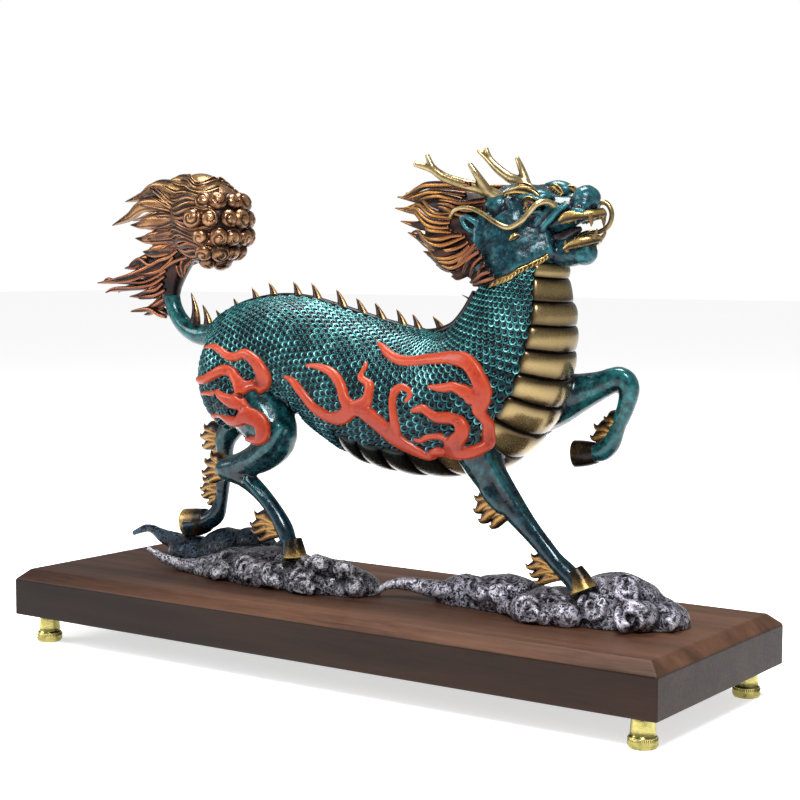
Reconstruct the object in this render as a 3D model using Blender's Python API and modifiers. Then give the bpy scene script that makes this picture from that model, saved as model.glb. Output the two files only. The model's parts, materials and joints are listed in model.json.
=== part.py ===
"""Qilin ornament: one cast figure on two cast clouds, standing on a walnut board with four turned feet."""

import math

import bmesh
import bpy
import numpy as np
from mathutils import Matrix, Vector
from mathutils.bvhtree import BVHTree

# Board: a plank with a flat chamfer round its top, standing on four turned feet.
BOARD_LENGTH = 0.4200
BOARD_WIDTH = 0.1456
BOARD_SIDE_HEIGHT = 0.0212
CHAMFER_RUN = 0.0066
CHAMFER_RISE = 0.0059
BOARD_EDGE_RADIUS = 0.0008

# Feet: a knurled collar on the floor and a cone that narrows up to the board.
FOOT_DIAMETER = 0.0145
FOOT_HEIGHT = 0.0165
FOOT_COLLAR_HEIGHT = 0.0060
FOOT_CONE_DIAMETER = 0.0134
FOOT_TOP_DIAMETER = 0.0114
FOOT_SOLE_ROUND = 0.0012
FOOT_INSET = 0.0140
FOOT_SEGMENTS = 20

# Figure and clouds: drawn on a grid of 360 units to the length of the figure.
# X runs to the head, Y to the raised foreleg, Z up from the top of the board.
FIGURE_LENGTH = 0.3600
UNIT = FIGURE_LENGTH / 360.0

# Fusing rounds off thin ends, so tips are drawn this much long.
TIP_ALLOWANCE = 0.0022

# Grain of the fused skins, and how near a seat a point must lie to be brought on to it.
FIGURE_GRAIN = 0.00115
CLOUD_GRAIN = 0.00130
SEAT_REACH = 0.00042

# Clear gap between neighbouring pieces, and how far the cutters reach past what they cut.
GAP = 0.0003
CUT_REACH = 0.0600

FIGURE_TRIANGLES = 6700
CLOUD_TRIANGLES = 760

FOOT_LEVEL = 0.0
BOARD_UNDERSIDE = FOOT_HEIGHT
BOARD_TOP = BOARD_UNDERSIDE + BOARD_SIDE_HEIGHT + CHAMFER_RISE

# Trunk stations: x, z, heading in degrees above +X, half depth, half width.
TRUNK = (
    (-113.0, 134.0, 0, 11.0, 10.0),
    (-105.0, 129.5, 0, 21.5, 19.0),
    (-90.0, 127.0, 0, 29.5, 26.5),
    (-67.0, 127.0, -4, 33.5, 29.5),
    (-45.0, 128.0, -10, 31.5, 30.0),
    (-21.0, 118.5, -16, 34.5, 31.5),
    (3.0, 110.3, -12, 38.2, 32.5),
    (25.0, 106.3, -4, 38.2, 33.0),
    (46.0, 106.0, 14, 38.5, 33.5),
    (64.5, 110.0, 36, 40.0, 33.5),
    (80.5, 123.5, 60, 37.5, 32.5),
    (88.5, 141.0, 79, 32.8, 29.0),
    (94.0, 157.0, 85, 27.4, 24.5),
    (96.0, 171.0, 84, 21.8, 21.0),
    (97.5, 184.0, 80, 19.3, 18.5),
    (98.0, 196.0, 78, 14.0, 15.0),
)

# Ball of the tail, which carries the snail curls: centre x, y, z and the three half axes.
TAIL_BALL = (-119.5, 0.0, 203.5, 23.5, 22.0, 24.5)

# Muscle masses: centre x, y, z and the three half axes.
MASSES = (
    (-85.0, -16.0, 116.0, 25.0, 15.5, 30.0),
    (-88.0, 16.0, 116.0, 25.0, 15.5, 29.0),
    (67.0, -19.5, 110.0, 22.0, 13.5, 28.0),
    (70.0, 19.5, 112.0, 23.0, 13.5, 26.0),
    (97.0, 0.0, 204.5, 20.0, 16.5, 17.0),
    (93.0, -12.5, 190.0, 12.0, 7.5, 14.0),
    (93.0, 12.5, 190.0, 12.0, 7.5, 14.0),
    (107.0, -10.5, 213.6, 9.0, 5.5, 5.0),
    (108.0, 10.5, 219.4, 9.0, 5.5, 5.0),
    (106.0, -14.0, 209.0, 4.0, 3.5, 4.0),
    (106.0, 14.0, 211.5, 4.0, 3.5, 4.0),
    (130.5, 0.0, 213.6, 7.0, 7.0, 6.6),
    (134.0, -6.5, 211.0, 4.5, 4.0, 3.8),
    (134.0, 6.5, 211.0, 4.5, 4.0, 3.8),
    (-127.0, 0.0, 212.5, 20.0, 16.0, 20.5),
    TAIL_BALL,
)

# Round members: lists of x, y, z, radius along each one.
LIMBS = {
    "near_hind_thigh": (
        (-80.0, -17.0, 108.0, 19.0),
        (-62.0, -20.0, 94.0, 16.5),
        (-54.5, -21.0, 83.0, 13.0),
        (-61.0, -22.0, 73.5, 10.0),
        (-75.0, -22.0, 67.0, 7.8),
        (-89.0, -22.0, 63.5, 6.8),
    ),
    "near_hind_shank": (
        (-91.0, -22.0, 63.5, 6.8),
        (-76.0, -22.0, 59.0, 5.6),
        (-63.5, -22.0, 51.0, 4.8),
        (-53.5, -22.0, 41.5, 4.7),
        (-47.0, -22.0, 32.5, 5.2),
        (-43.5, -22.0, 25.5, 4.6),
        (-41.0, -22.0, 19.0, 5.8),
        (-39.5, -22.0, 13.5, 6.8),
    ),
    "far_hind": (
        (-94.0, 16.0, 110.0, 20.0),
        (-106.0, 18.5, 97.0, 13.5),
        (-117.0, 20.0, 86.0, 9.0),
        (-126.0, 20.0, 74.0, 6.6),
        (-126.5, 20.0, 59.0, 4.6),
        (-128.0, 20.0, 46.0, 4.2),
        (-130.0, 20.0, 36.0, 4.4),
        (-133.5, 20.0, 28.0, 5.6),
        (-141.0, 20.0, 23.5, 6.2),
        (-149.0, 20.0, 21.5, 7.4),
        (-156.0, 20.0, 20.0, 7.4),
    ),
    "near_fore": (
        (72.0, -18.5, 98.0, 15.5),
        (79.0, -17.0, 82.0, 12.0),
        (85.5, -16.0, 70.0, 9.2),
        (95.5, -16.0, 58.5, 7.2),
        (104.5, -16.0, 49.5, 5.9),
        (114.0, -16.0, 40.0, 4.7),
        (123.6, -16.0, 31.0, 4.7),
        (131.6, -16.0, 24.8, 5.2),
        (136.5, -16.0, 20.0, 5.2),
        (140.5, -16.0, 13.5, 6.2),
    ),
    "far_fore": (
        (84.0, 19.0, 107.0, 17.0),
        (100.0, 21.0, 110.0, 13.0),
        (114.0, 22.0, 113.0, 10.2),
        (128.0, 22.0, 118.0, 8.2),
        (139.5, 22.0, 122.4, 7.4),
        (145.0, 22.0, 118.0, 6.4),
        (142.8, 22.0, 107.0, 5.6),
        (138.3, 22.0, 97.5, 5.3),
        (134.5, 22.0, 88.5, 5.6),
        (129.5, 22.0, 83.5, 5.2),
        (123.0, 22.0, 82.3, 5.4),
        (115.5, 22.0, 81.5, 6.0),
    ),
    "tail": (
        (-104.0, 0.0, 140.0, 10.0),
        (-118.0, 0.0, 138.5, 7.5),
        (-130.0, 0.0, 138.5, 6.2),
        (-141.0, 0.0, 144.0, 5.4),
        (-148.5, 0.0, 154.0, 5.0),
        (-150.5, 0.0, 166.0, 5.2),
        (-148.0, 0.0, 178.0, 6.4),
        (-140.0, 0.0, 189.0, 9.0),
        (-132.0, 0.0, 198.0, 10.0),
    ),
    "snout": (
        (104.0, 0.0, 206.0, 12.5),
        (116.0, 0.0, 209.0, 10.0),
        (128.0, 0.0, 209.5, 7.5),
        (135.0, 0.0, 208.5, 5.5),
    ),
    "lower_jaw": (
        (92.0, 0.0, 188.0, 13.0),
        (106.0, 0.0, 186.5, 9.5),
        (120.0, 0.0, 186.5, 7.6),
        (130.0, 0.0, 187.5, 6.6),
        (134.5, 0.0, 188.5, 5.2),
    ),
    "tongue": (
        (108.0, 0.0, 192.0, 4.0),
        (120.0, 0.0, 195.0, 3.4),
        (128.0, 0.0, 197.5, 2.6),
    ),
    "back_ridge": (
        (-121.0, 0.0, 139.5, 2.2),
        (-106.0, 0.0, 150.0, 2.2),
        (-90.0, 0.0, 156.4, 2.2),
        (-67.0, 0.0, 160.2, 2.2),
        (-45.0, 0.0, 159.2, 2.2),
        (-21.0, 0.0, 154.0, 2.2),
        (3.0, 0.0, 148.2, 2.2),
        (23.0, 0.0, 144.0, 2.2),
        (36.0, 0.0, 142.4, 2.2),
        (50.0, 0.0, 146.2, 2.2),
        (58.5, 0.0, 154.0, 2.2),
        (65.5, 0.0, 164.5, 2.2),
    ),
    "near_horn": (
        (86.0, -12.0, 212.5, 3.4),
        (78.7, -18.5, 219.0, 2.7),
        (68.8, -22.0, 221.9, 2.4),
        (60.9, -25.0, 225.0, 2.2),
        (54.8, -27.0, 229.2, 1.9),
        (44.5, -28.0, 232.0, 1.3),
    ),
    "near_horn_fork": (
        (58.5, -26.0, 227.0, 1.9),
        (54.5, -27.0, 231.0, 1.7),
        (52.0, -27.5, 236.8, 1.2),
    ),
    "near_horn_tine": (
        (81.5, -18.5, 219.0, 2.2),
        (79.0, -21.5, 225.5, 1.7),
        (75.0, -23.0, 231.8, 1.2),
    ),
    "far_horn": (
        (89.0, 12.0, 215.0, 3.4),
        (82.7, 18.5, 223.3, 2.7),
        (71.9, 22.0, 226.2, 2.4),
        (61.9, 25.0, 231.9, 2.2),
        (54.9, 27.0, 237.5, 1.8),
        (48.0, 28.0, 242.6, 1.3),
    ),
    "far_horn_fork": (
        (58.0, 26.0, 235.0, 1.8),
        (55.0, 27.2, 239.0, 1.6),
        (53.2, 27.5, 244.2, 1.2),
    ),
    "far_horn_tine": (
        (84.9, 18.5, 224.0, 2.2),
        (79.6, 21.5, 230.2, 1.7),
        (75.5, 23.0, 237.0, 1.2),
    ),
    "nose_ring": (
        (131.0, 8.0, 211.5, 1.6),
        (136.5, 9.5, 211.5, 1.4),
        (139.5, 10.0, 206.5, 1.3),
        (138.0, 10.0, 200.5, 1.3),
        (133.0, 9.5, 197.0, 1.3),
        (127.0, 8.0, 196.5, 1.4),
        (121.0, 6.0, 194.0, 1.6),
    ),
    "near_whisker": (
        (118.0, -9.5, 209.5, 1.8),
        (116.0, -14.5, 211.8, 1.5),
        (112.5, -18.5, 210.5, 1.5),
        (108.5, -20.0, 206.0, 1.4),
        (104.5, -21.5, 201.6, 1.4),
        (98.0, -22.0, 198.9, 1.4),
        (91.0, -22.0, 201.2, 1.4),
        (84.0, -22.5, 205.5, 1.4),
        (77.5, -23.5, 208.6, 1.3),
        (71.5, -24.0, 209.2, 1.2),
        (66.8, -24.0, 207.8, 1.2),
        (63.5, -23.0, 204.5, 1.2),
        (60.5, -20.0, 200.5, 1.4),
    ),
}

# Members made on the near side and mirrored to the far side.
PAIRED = {
    "upper_lip": (
        (112.0, -11.5, 203.5, 2.4),
        (122.0, -10.5, 203.0, 2.0),
        (132.0, -8.5, 204.5, 1.9),
        (138.0, -4.5, 207.0, 1.9),
        (139.5, 0.5, 207.5, 1.9),
    ),
    "lower_lip": (
        (108.0, -11.0, 193.0, 2.6),
        (116.0, -9.5, 192.0, 2.1),
        (127.0, -8.0, 192.3, 1.9),
        (134.5, -5.0, 193.4, 1.9),
        (137.5, 0.5, 194.0, 1.9),
    ),
    "upper_fang": (
        (136.0, -6.0, 206.0, 1.5),
        (136.8, -6.2, 200.2, 0.8),
    ),
    "jaw_fringe": (
        (114.0, -10.5, 186.5, 2.4),
        (106.0, -14.0, 181.0, 3.0),
        (95.0, -16.5, 176.0, 3.0),
        (86.0, -16.5, 172.5, 3.0),
        (78.0, -14.5, 171.5, 2.4),
    ),
    "cheek_back": (
        (80.0, -14.0, 206.0, 6.0),
        (80.0, -16.0, 192.0, 6.5),
        (82.0, -14.0, 180.0, 5.5),
    ),
}

# Mane locks of the near side: root, bend, tip and the root radius.
MANE = (
    ((84, -6, 219), (52, -9, 223), (26, -9, 218), 5.0),
    ((84, -11, 216), (54, -15, 218), (22, -11, 216), 5.5),
    ((82, -14, 210), (54, -19, 209), (22, -13, 210), 5.5),
    ((81, -15, 204), (56, -21, 201), (27, -15, 203), 5.5),
    ((80, -16, 198), (56, -22, 193), (31, -14, 197), 5.5),
    ((80, -17, 192), (60, -22, 186), (41, -14, 187), 5.0),
    ((80, -17, 187), (64, -21, 180), (49, -14, 180), 5.0),
    ((80, -16, 182), (68, -19, 176), (58, -13, 174), 4.5),
    ((82, -15, 178), (76, -16, 174), (68, -11, 171), 4.0),
    ((82, -4, 213), (52, -5, 214), (26, -4, 210), 7.0),
    ((80, -6, 202), (54, -8, 204), (30, -6, 203), 8.0),
    ((80, -6, 192), (58, -8, 192), (38, -6, 191), 8.0),
    ((80, -6, 184), (64, -8, 182), (51, -6, 179), 7.0),
)

# Tail locks: root, bend, tip and root radius.
TAIL_LOCKS = (
    ((-118, 0, 222), (-142, 0, 228), (-163, 0, 222), 6.0),
    ((-124, -8, 220), (-150, -10, 225), (-180, -8, 217), 5.5),
    ((-124, 8, 220), (-150, 10, 225), (-178, 8, 218), 5.5),
    ((-128, -10, 214), (-158, -12, 215), (-194, -5, 203), 5.5),
    ((-128, 10, 214), (-156, 12, 216), (-188, 7, 206), 5.5),
    ((-130, -12, 206), (-154, -12, 205), (-176, -8, 203), 5.5),
    ((-130, 12, 206), (-154, 12, 205), (-178, 8, 201), 5.5),
    ((-130, -10, 198), (-152, -11, 196), (-172, -8, 195), 5.5),
    ((-130, 10, 198), (-152, 11, 196), (-173, 8, 193), 5.5),
    ((-134, -5, 192), (-153, -8, 188), (-167, -7, 187), 5.5),
    ((-134, 5, 192), (-156, 8, 188), (-184, 5, 178), 5.5),
    ((-136, 0, 188), (-168, -4, 182), (-184, -5, 177), 4.5),
    ((-140, -2, 187), (-170, -7, 174), (-204, -8, 168), 4.2),
    ((-142, 2, 183), (-170, 1, 170), (-200, 0, 163), 4.0),
    ((-146, -2, 176), (-162, -4, 164), (-181, -4, 160), 4.0),
    ((-148, 2, 172), (-162, 3, 158), (-178, 2, 151), 3.6),
    ((-148, 0, 162), (-161, -2, 154), (-173, 0, 149), 3.4),
    ((-128, -6, 186), (-133, -8, 180), (-133, -8, 173), 3.6),
    ((-143, -3, 184), (-138, -6, 177), (-135, -6, 172), 3.4),
)

# Snail curls on the front of the tail ball: angle along the ball, height angle, radius.
CURLS = (
    (-75, 58, 6.0), (-50, 40, 6.5), (-15, 52, 6.5), (-85, 15, 6.5), (-45, 5, 7.0),
    (-10, 18, 6.5), (20, 40, 6.0), (25, 0, 6.5), (-70, -25, 6.5), (-25, -28, 7.0),
    (15, -35, 6.5), (-50, -58, 6.0), (-5, -64, 6.0), (58, 25, 6.5), (60, -15, 6.5),
    (50, -50, 6.0), (85, 5, 6.0), (80, 45, 6.0), (85, -38, 6.0), (40, 68, 6.0),
)

# Spines of the back: tip x, z, then base x, z and half length along the back.
SPINES = (
    (-135.0, 163.0, -133.5, 142.0, 5.5), (-126.0, 156.0, -122.0, 141.0, 5.5),
    (-115.5, 153.0, -109.5, 143.0, 6.0), (-102.0, 160.0, -97.0, 148.5, 6.5),
    (-88.0, 166.5, -84.0, 154.5, 6.5), (-75.5, 169.8, -71.0, 157.0, 6.5),
    (-57.5, 170.4, -54.0, 157.5, 6.5), (-44.5, 169.6, -40.0, 156.5, 6.5),
    (-27.0, 166.2, -22.5, 152.5, 7.0), (-13.2, 161.8, -8.0, 149.0, 7.0),
    (-0.5, 159.2, 4.5, 146.5, 7.0), (14.0, 156.0, 18.5, 143.0, 6.5),
    (24.5, 153.5, 29.0, 141.0, 6.0), (37.8, 152.6, 46.5, 141.0, 8.0),
    (56.0, 164.4, 67.0, 161.5, 5.0),
)

# Leaf tufts: root, tip, half width.
TUFTS = (
    ((-93, -22, 66), (-107.5, -23, 72.5), 5),
    ((-94, -22, 63), (-112, -23, 65), 5),
    ((-94, -22, 60), (-107.5, -23, 59), 4.5),
    ((-57, -22, 36), (-76, -23, 38), 4.5),
    ((-56, -22, 33), (-75, -23, 33.5), 4.5),
    ((-54, -22, 31), (-69.5, -23, 28), 4),
    ((-128, 20, 78), (-150.5, 20, 80), 5.5),
    ((-128, 20, 74), (-149.5, 20, 73), 5.5),
    ((-128, 20, 68), (-141.5, 20, 66), 4.5),
    ((-129, 20, 48), (-151.5, 20, 47), 5),
    ((-129, 20, 44), (-150.5, 20, 42.5), 5),
    ((-129, 20, 40), (-144.5, 20, 36.5), 4.5),
    ((92, -17, 62), (70.5, -19, 55.5), 5.5),
    ((94, -17, 58), (74, -19, 49.5), 5.5),
    ((97, -17, 55), (81.5, -19, 46), 5),
    ((124, -16, 29), (102.5, -17, 31), 4),
    ((125, -16, 27), (105, -17, 26), 4),
    ((127, -16, 24), (108, -17, 22), 4),
    ((141, 22, 100), (125.5, 22, 99.5), 5),
    ((139, 22, 95), (117.5, 22, 94.5), 5),
    ((137, 22, 92), (122.5, 22, 90), 4.5),
    ((100, -11, 216), (86, -15, 218), 3),
    ((108, -11, 216), (96, -15, 221.5), 3),
    ((111, -11, 214.5), (104, -15.5, 219.5), 2.5),
    ((100, 11, 216), (86, 15, 218), 3),
    ((108, 11, 216), (96, 15, 221.5), 3),
    ((111, 11, 214.5), (104, 15.5, 219.5), 2.5),
    ((84, -16, 200), (66, -21, 206.5), 3.5),
    ((84, 16, 200), (66, 21, 206.5), 3.5),
    ((106, -13, 182), (98, -17, 172.5), 3),
    ((97, -15, 178), (89, -18, 169.5), 3),
    ((88, -15, 175), (80, -16, 168.5), 3),
    ((106, 13, 182), (98, 17, 172.5), 3),
    ((97, 15, 178), (89, 18, 169.5), 3),
    ((88, 15, 175), (80, 16, 168.5), 3),
)

# Belly plates: trunk positions (0 to 1 along the stations) of the raised ridges.
PLATE_RIDGES = (
    0.935, 0.89, 0.828, 0.777, 0.735, 0.702, 0.672, 0.640, 0.608, 0.573, 0.540, 0.500, 0.460, 0.420, 0.385,
)
PLATE_HALF_ANGLE = 52.0

# Flame bands of the near flank: x, z and band radius; the skin gives their depth, and the far flank
# carries them mirrored.
FLAMES = (
    ((-110, 130, 0.9), (-100, 132, 1.1), (-93, 133, 1.6), (-86, 131, 1.9), (-80, 128, 2.2),
     (-75, 128, 2.3), (-68, 130, 2.5), (-61, 127, 3), (-57, 123, 3.6), (-55, 118, 4.1),
     (-58, 113, 3.8), (-60, 109, 2.2)),
    ((-120, 112, 0.9), (-116, 114, 1.6), (-100, 114, 2.2), (-91, 117, 2.5), (-84, 120, 2.7),
     (-78, 120, 2.7), (-73, 116, 2.7), (-69, 112, 3.6), (-67, 108, 3.3)),
    ((-104, 106, 0.9), (-95, 107, 1.4), (-83, 107, 1.9), (-77, 105, 2.7), (-70, 103, 3.3),
     (-65, 102, 2.5)),
    ((-107, 91, 0.9), (-96, 94, 1.4), (-84, 95, 1.6), (-75, 93, 2.5), (-67, 93, 2.7),
     (-62, 96, 3.8), (-57, 95, 4.1), (-53, 92, 3.8), (-52, 86, 3.6), (-55, 83, 2.7),
     (-61, 83, 1.9), (-67, 83, 1)),
    ((-68, 110, 3.3), (-64, 112, 2.7), (-58, 113, 3.3)),
    ((-66, 104, 2.2), (-62, 100, 1.9), (-60, 98, 2.2)),
    ((-40, 119, 0.9), (-34, 117, 1.9), (-30, 114, 2.5), (-24, 108, 2.7), (-19, 103, 2.7),
     (-13, 100, 2.9), (-6, 98, 3), (2, 99, 3.6), (8, 103, 3.8)),
    ((-24, 125, 0.9), (-18, 125, 1.4), (-12, 124, 1.9), (-6, 122, 2.3), (-1, 118, 2.6),
     (2, 114, 2.7), (4, 109, 3), (8, 104, 3.6)),
    ((14, 128, 0.9), (15, 126, 1.4), (14, 123, 1.4), (13, 120, 1.6), (17, 118, 1.9),
     (20, 116, 2.5), (20, 112, 2.6), (19, 108, 3), (14, 105, 3.6)),
    ((8, 103, 3.6), (14, 104, 3.8), (20, 101, 3.8), (26, 97, 3.8), (32, 93, 4.1),
     (37, 89, 3.8), (42, 86, 3.3), (48, 83, 2.7), (53, 81, 2.2), (59, 83, 1.9)),
    ((37, 92, 2.7), (37, 98, 2.5), (36, 105, 2.2), (36, 110, 2.2), (37, 114, 2.2),
     (41, 116, 1.9), (45, 115, 1.6), (47, 113, 1.5), (45, 110, 1.2), (43, 109, 0.9)),
    ((16, 138, 0.9), (20, 136, 1.6), (25, 133, 2.2), (32, 130, 2.5), (38, 129, 2.6),
     (44, 129, 2.6), (51, 130, 2.7), (59, 131, 2.7), (67, 132, 3), (74, 132, 3.3),
     (80, 131, 3.6), (85, 127, 3.6), (88, 122, 3.7), (90, 117, 3.8), (89, 112, 3.8),
     (87, 107, 3.3), (88, 104, 2.5), (90, 100, 2.7), (89, 95, 3), (88, 90, 2.9),
     (86, 87, 2.7), (82, 85, 2.9), (76, 84, 2.9), (66, 84, 2.7), (60, 84, 2.5), (56, 83, 1.9),
     (52, 80, 1.1)),
    ((57, 117, 0.9), (61, 117, 1.4), (67, 117, 2.1), (73, 118, 2.3), (77, 117, 2.7),
     (82, 115, 3.3), (85, 112, 3.6)),
    ((47, 104, 0.9), (50, 105, 1.5), (55, 106, 2.1), (59, 104, 2.3), (63, 102, 2.5),
     (68, 102, 2.7), (72, 102, 2.7), (76, 100, 3), (78, 97, 3.2), (77, 93, 3.4),
     (74, 90, 3.6), (69, 86, 3)),
    ((47, 90, 0.9), (51, 89, 1.4), (55, 91, 1.6), (60, 92, 1.6), (64, 92, 1.8), (69, 91, 1.9),
     (71, 88, 1.9)),
)

# Where the rays that lay the bands start, their depth past the skin's edge, and how much deeper or
# shallower the far flank may be before a band keeps the near flank's depth.
FLAME_START = 70.0
FLAME_EDGE = 18.0
FLAME_STEP = 8.0

# Rear cloud: rounded masses, then tails and rolls.
REAR_CLOUD_MASSES = (
    (-62.0, -13.0, 4.0, 34.0, 22.0, 15.5),
    (-28.0, -15.0, 3.0, 30.0, 20.0, 14.0),
    (-2.0, -16.0, 2.0, 14.0, 14.0, 11.0),
    (-96.0, -12.0, 2.0, 26.0, 17.0, 9.5),
    (-122.0, 20.0, 2.0, 26.0, 14.0, 19.0),
    (-150.0, 20.0, 2.0, 20.0, 13.0, 11.5),
    (-96.0, 8.0, 2.0, 28.0, 20.0, 12.0),
    (-106.0, 21.0, 2.0, 22.0, 12.0, 20.5),
    (-62.0, 0.0, 4.0, 14.0, 9.0, 19.0),
)
REAR_CLOUD_RODS = (
    (
        (-92.0, -18.0, 7.0, 8.5), (-116.0, -20.0, 3.5, 5.0), (-134.0, -22.0, 5.5, 3.0),
        (-149.0, -24.0, 12.0, 1.5),
    ),
    (
        (-156.0, 20.0, 7.0, 7.0), (-176.0, 21.0, 10.0, 4.5), (-191.0, 22.0, 14.0, 3.0),
        (-205.0, 22.0, 9.5, 1.5),
    ),
    (
        (-18.0, -30.0, 13.0, 3.0), (-22.0, -31.0, 17.0, 3.0), (-16.0, -31.0, 19.5, 3.0),
        (-13.0, -30.0, 14.0, 2.6),
    ),
    ((-3.0, -26.0, 10.0, 3.0), (-6.0, -27.0, 15.0, 3.0), (0.0, -27.0, 17.0, 3.0), (4.0, -25.0, 11.0, 2.6)),
    ((-31.0, -34.0, 2.0, 4.0), (-24.0, -36.0, 5.5, 4.0), (-16.0, -34.0, 2.0, 4.0)),
    ((-98.0, -28.0, 2.0, 3.6), (-93.0, -30.0, 5.0, 3.6), (-86.0, -32.0, 2.0, 3.6)),
    ((-58.0, -32.0, 2.0, 3.8), (-48.0, -33.0, 5.0, 3.8), (-40.0, -32.0, 2.0, 3.8)),
)

FRONT_CLOUD_MASSES = (
    (151.0, 1.0, 3.0, 27.0, 23.0, 22.5),
    (168.0, 4.0, 2.0, 20.0, 18.0, 13.0),
    (122.0, -8.0, 2.0, 27.0, 21.0, 14.0),
    (88.0, -3.0, 2.0, 28.0, 14.0, 16.5),
    (64.0, -4.0, 2.0, 20.0, 11.0, 14.0),
)
FRONT_CLOUD_RODS = (
    (
        (62.0, -8.0, 6.0, 7.0), (46.0, -12.0, 7.5, 5.0), (32.0, -16.0, 9.0, 3.5),
        (22.0, -19.0, 7.5, 2.2), (16.0, -20.0, 3.5, 1.5),
    ),
    (
        (176.0, -16.0, 12.0, 3.4), (170.0, -21.0, 13.0, 3.4), (164.0, -23.0, 8.0, 3.4),
        (169.0, -25.0, 3.0, 3.4),
    ),
    ((112.0, -28.0, 2.0, 3.8), (119.0, -30.0, 6.0, 3.8), (127.0, -27.0, 2.0, 3.8)),
    ((176.0, 6.0, 10.0, 4.5), (183.0, -2.0, 6.0, 4.0), (184.0, -10.0, 4.0, 3.4)),
    ((92.0, -15.0, 2.0, 3.4), (100.0, -20.0, 5.0, 3.6), (108.0, -24.0, 2.0, 3.6)),
)

# Hoof seats: x, y, height of the sole, radius cleared round the hoof, which cloud.
SEATS = (
    (-40.0, -22.0, 17.0, 8.2, "rear"),
    (-151.5, 20.0, 13.2, 15.5, "rear"),
    (139.5, -16.0, 17.2, 8.4, "front"),
)


def metres(point):
    """Place a point of the figure grid in the object, in metres."""
    return Vector((point[0] * UNIT, point[1] * UNIT, BOARD_TOP + point[2] * UNIT))


def clear_scene():
    """Remove whatever objects the scene starts with."""
    for item in list(bpy.data.objects):
        bpy.data.objects.remove(item, do_unlink=True)


def new_collection(name, hidden=False):
    """Add a collection under the scene."""
    collection = bpy.data.collections.new(name)
    bpy.context.scene.collection.children.link(collection)
    collection.hide_render = hidden
    return collection


def new_material(name, colour, metallic, roughness):
    """Make one Principled material."""
    material = bpy.data.materials.new(name)
    material.use_nodes = True
    shader = material.node_tree.nodes["Principled BSDF"]
    shader.inputs["Base Color"].default_value = (*colour, 1.0)
    shader.inputs["Metallic"].default_value = metallic
    shader.inputs["Roughness"].default_value = roughness
    return material


def new_object(name, mesh, collection, material=None):
    """Wrap a mesh in an object and link it."""
    item = bpy.data.objects.new(name, mesh)
    collection.objects.link(item)
    if material is not None:
        mesh.materials.clear()
        mesh.materials.append(material)
    return item


def bake(item):
    """Give the object's mesh with its modifiers worked in."""
    graph = bpy.context.evaluated_depsgraph_get()
    mesh = bpy.data.meshes.new_from_object(item.evaluated_get(graph), depsgraph=graph)
    return mesh


def add_mass(bm, centre_and_axes):
    """Add one ellipsoid of muscle or cloud."""
    x, y, z, a, b, c = centre_and_axes
    place = Matrix.Translation(metres((x, y, z)))
    scale = Matrix.Diagonal((a * UNIT, b * UNIT, c * UNIT, 1.0))
    bmesh.ops.create_icosphere(bm, subdivisions=4, radius=1.0, matrix=place @ scale)


def add_leaf(bm, root, tip, half_width, half_thickness, side=Vector((0.0, 1.0, 0.0))):
    """Add a flat pointed leaf from root to tip, thin along the side direction."""
    start = metres(root)
    axis = metres(tip) - start
    length = axis.length + TIP_ALLOWANCE
    axis.normalize()
    thin = (side - axis * side.dot(axis)).normalized()
    wide = thin.cross(axis)
    columns = (wide * half_width * UNIT, thin * half_thickness * UNIT, axis * length)
    basis = Matrix(columns).transposed().to_4x4()
    place = Matrix.Translation(start + axis * length * 0.5) @ basis
    bmesh.ops.create_cone(bm, cap_ends=True, segments=12, radius1=1.0, radius2=0.18, depth=1.0, matrix=place)


def add_loft(bm, rings):
    """Join closed rings of points into one capped skin."""
    loops = [[bm.verts.new(point) for point in ring] for ring in rings]
    count = len(loops[0])
    for low, high in zip(loops, loops[1:]):
        for i in range(count):
            j = (i + 1) % count
            bm.faces.new((low[i], low[j], high[j], high[i]))
    bm.faces.new(list(reversed(loops[0])))
    bm.faces.new(loops[-1])


def add_rods(bm, rods):
    """Sweep round members along smooth curves that pass through their points."""
    curve = bpy.data.curves.new("rods", "CURVE")
    curve.dimensions = "3D"
    curve.bevel_depth = 1.0
    curve.bevel_resolution = 3
    curve.use_fill_caps = True
    curve.resolution_u = 5
    for rod in rods:
        spline = curve.splines.new("BEZIER")
        spline.bezier_points.add(len(rod) - 1)
        spline.radius_interpolation = "LINEAR"
        for knot, (x, y, z, radius) in zip(spline.bezier_points, rod):
            knot.co = metres((x, y, z))
            knot.radius = radius * UNIT
            knot.handle_left_type = "AUTO"
            knot.handle_right_type = "AUTO"
    item = bpy.data.objects.new("rods", curve)
    bpy.context.scene.collection.objects.link(item)
    mesh = bake(item)
    bpy.data.objects.remove(item, do_unlink=True)
    bpy.data.curves.remove(curve)
    swept = bmesh.new()
    swept.from_mesh(mesh)
    bmesh.ops.remove_doubles(swept, verts=swept.verts, dist=1e-6)
    swept.to_mesh(mesh)
    swept.free()
    bm.from_mesh(mesh)
    bpy.data.meshes.remove(mesh)


def mirrored(rod):
    """Mirror a rod to the other side."""
    return tuple((x, -y, z, radius) for x, y, z, radius in rod)


def smooth_between(before, start, end, after, share):
    """Follow a smooth curve from start to end through its neighbours."""
    slope = (end - before) / 2
    leave = (after - start) / 2
    bend = 2 * (start - end) + slope + leave
    rise = 3 * (end - start) - 2 * slope - leave
    return start + share * (slope + share * (rise + share * bend))


def trunk_at(share):
    """Interpolate the trunk stations at a share of their run."""
    spot = min(max(share, 0.0), 1.0) * (len(TRUNK) - 1)
    index = min(int(spot), len(TRUNK) - 2)
    rows = [TRUNK[min(max(index + step, 0), len(TRUNK) - 1)] for step in (-1, 0, 1, 2)]
    return [smooth_between(*column, spot - index) for column in zip(*rows)]


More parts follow.
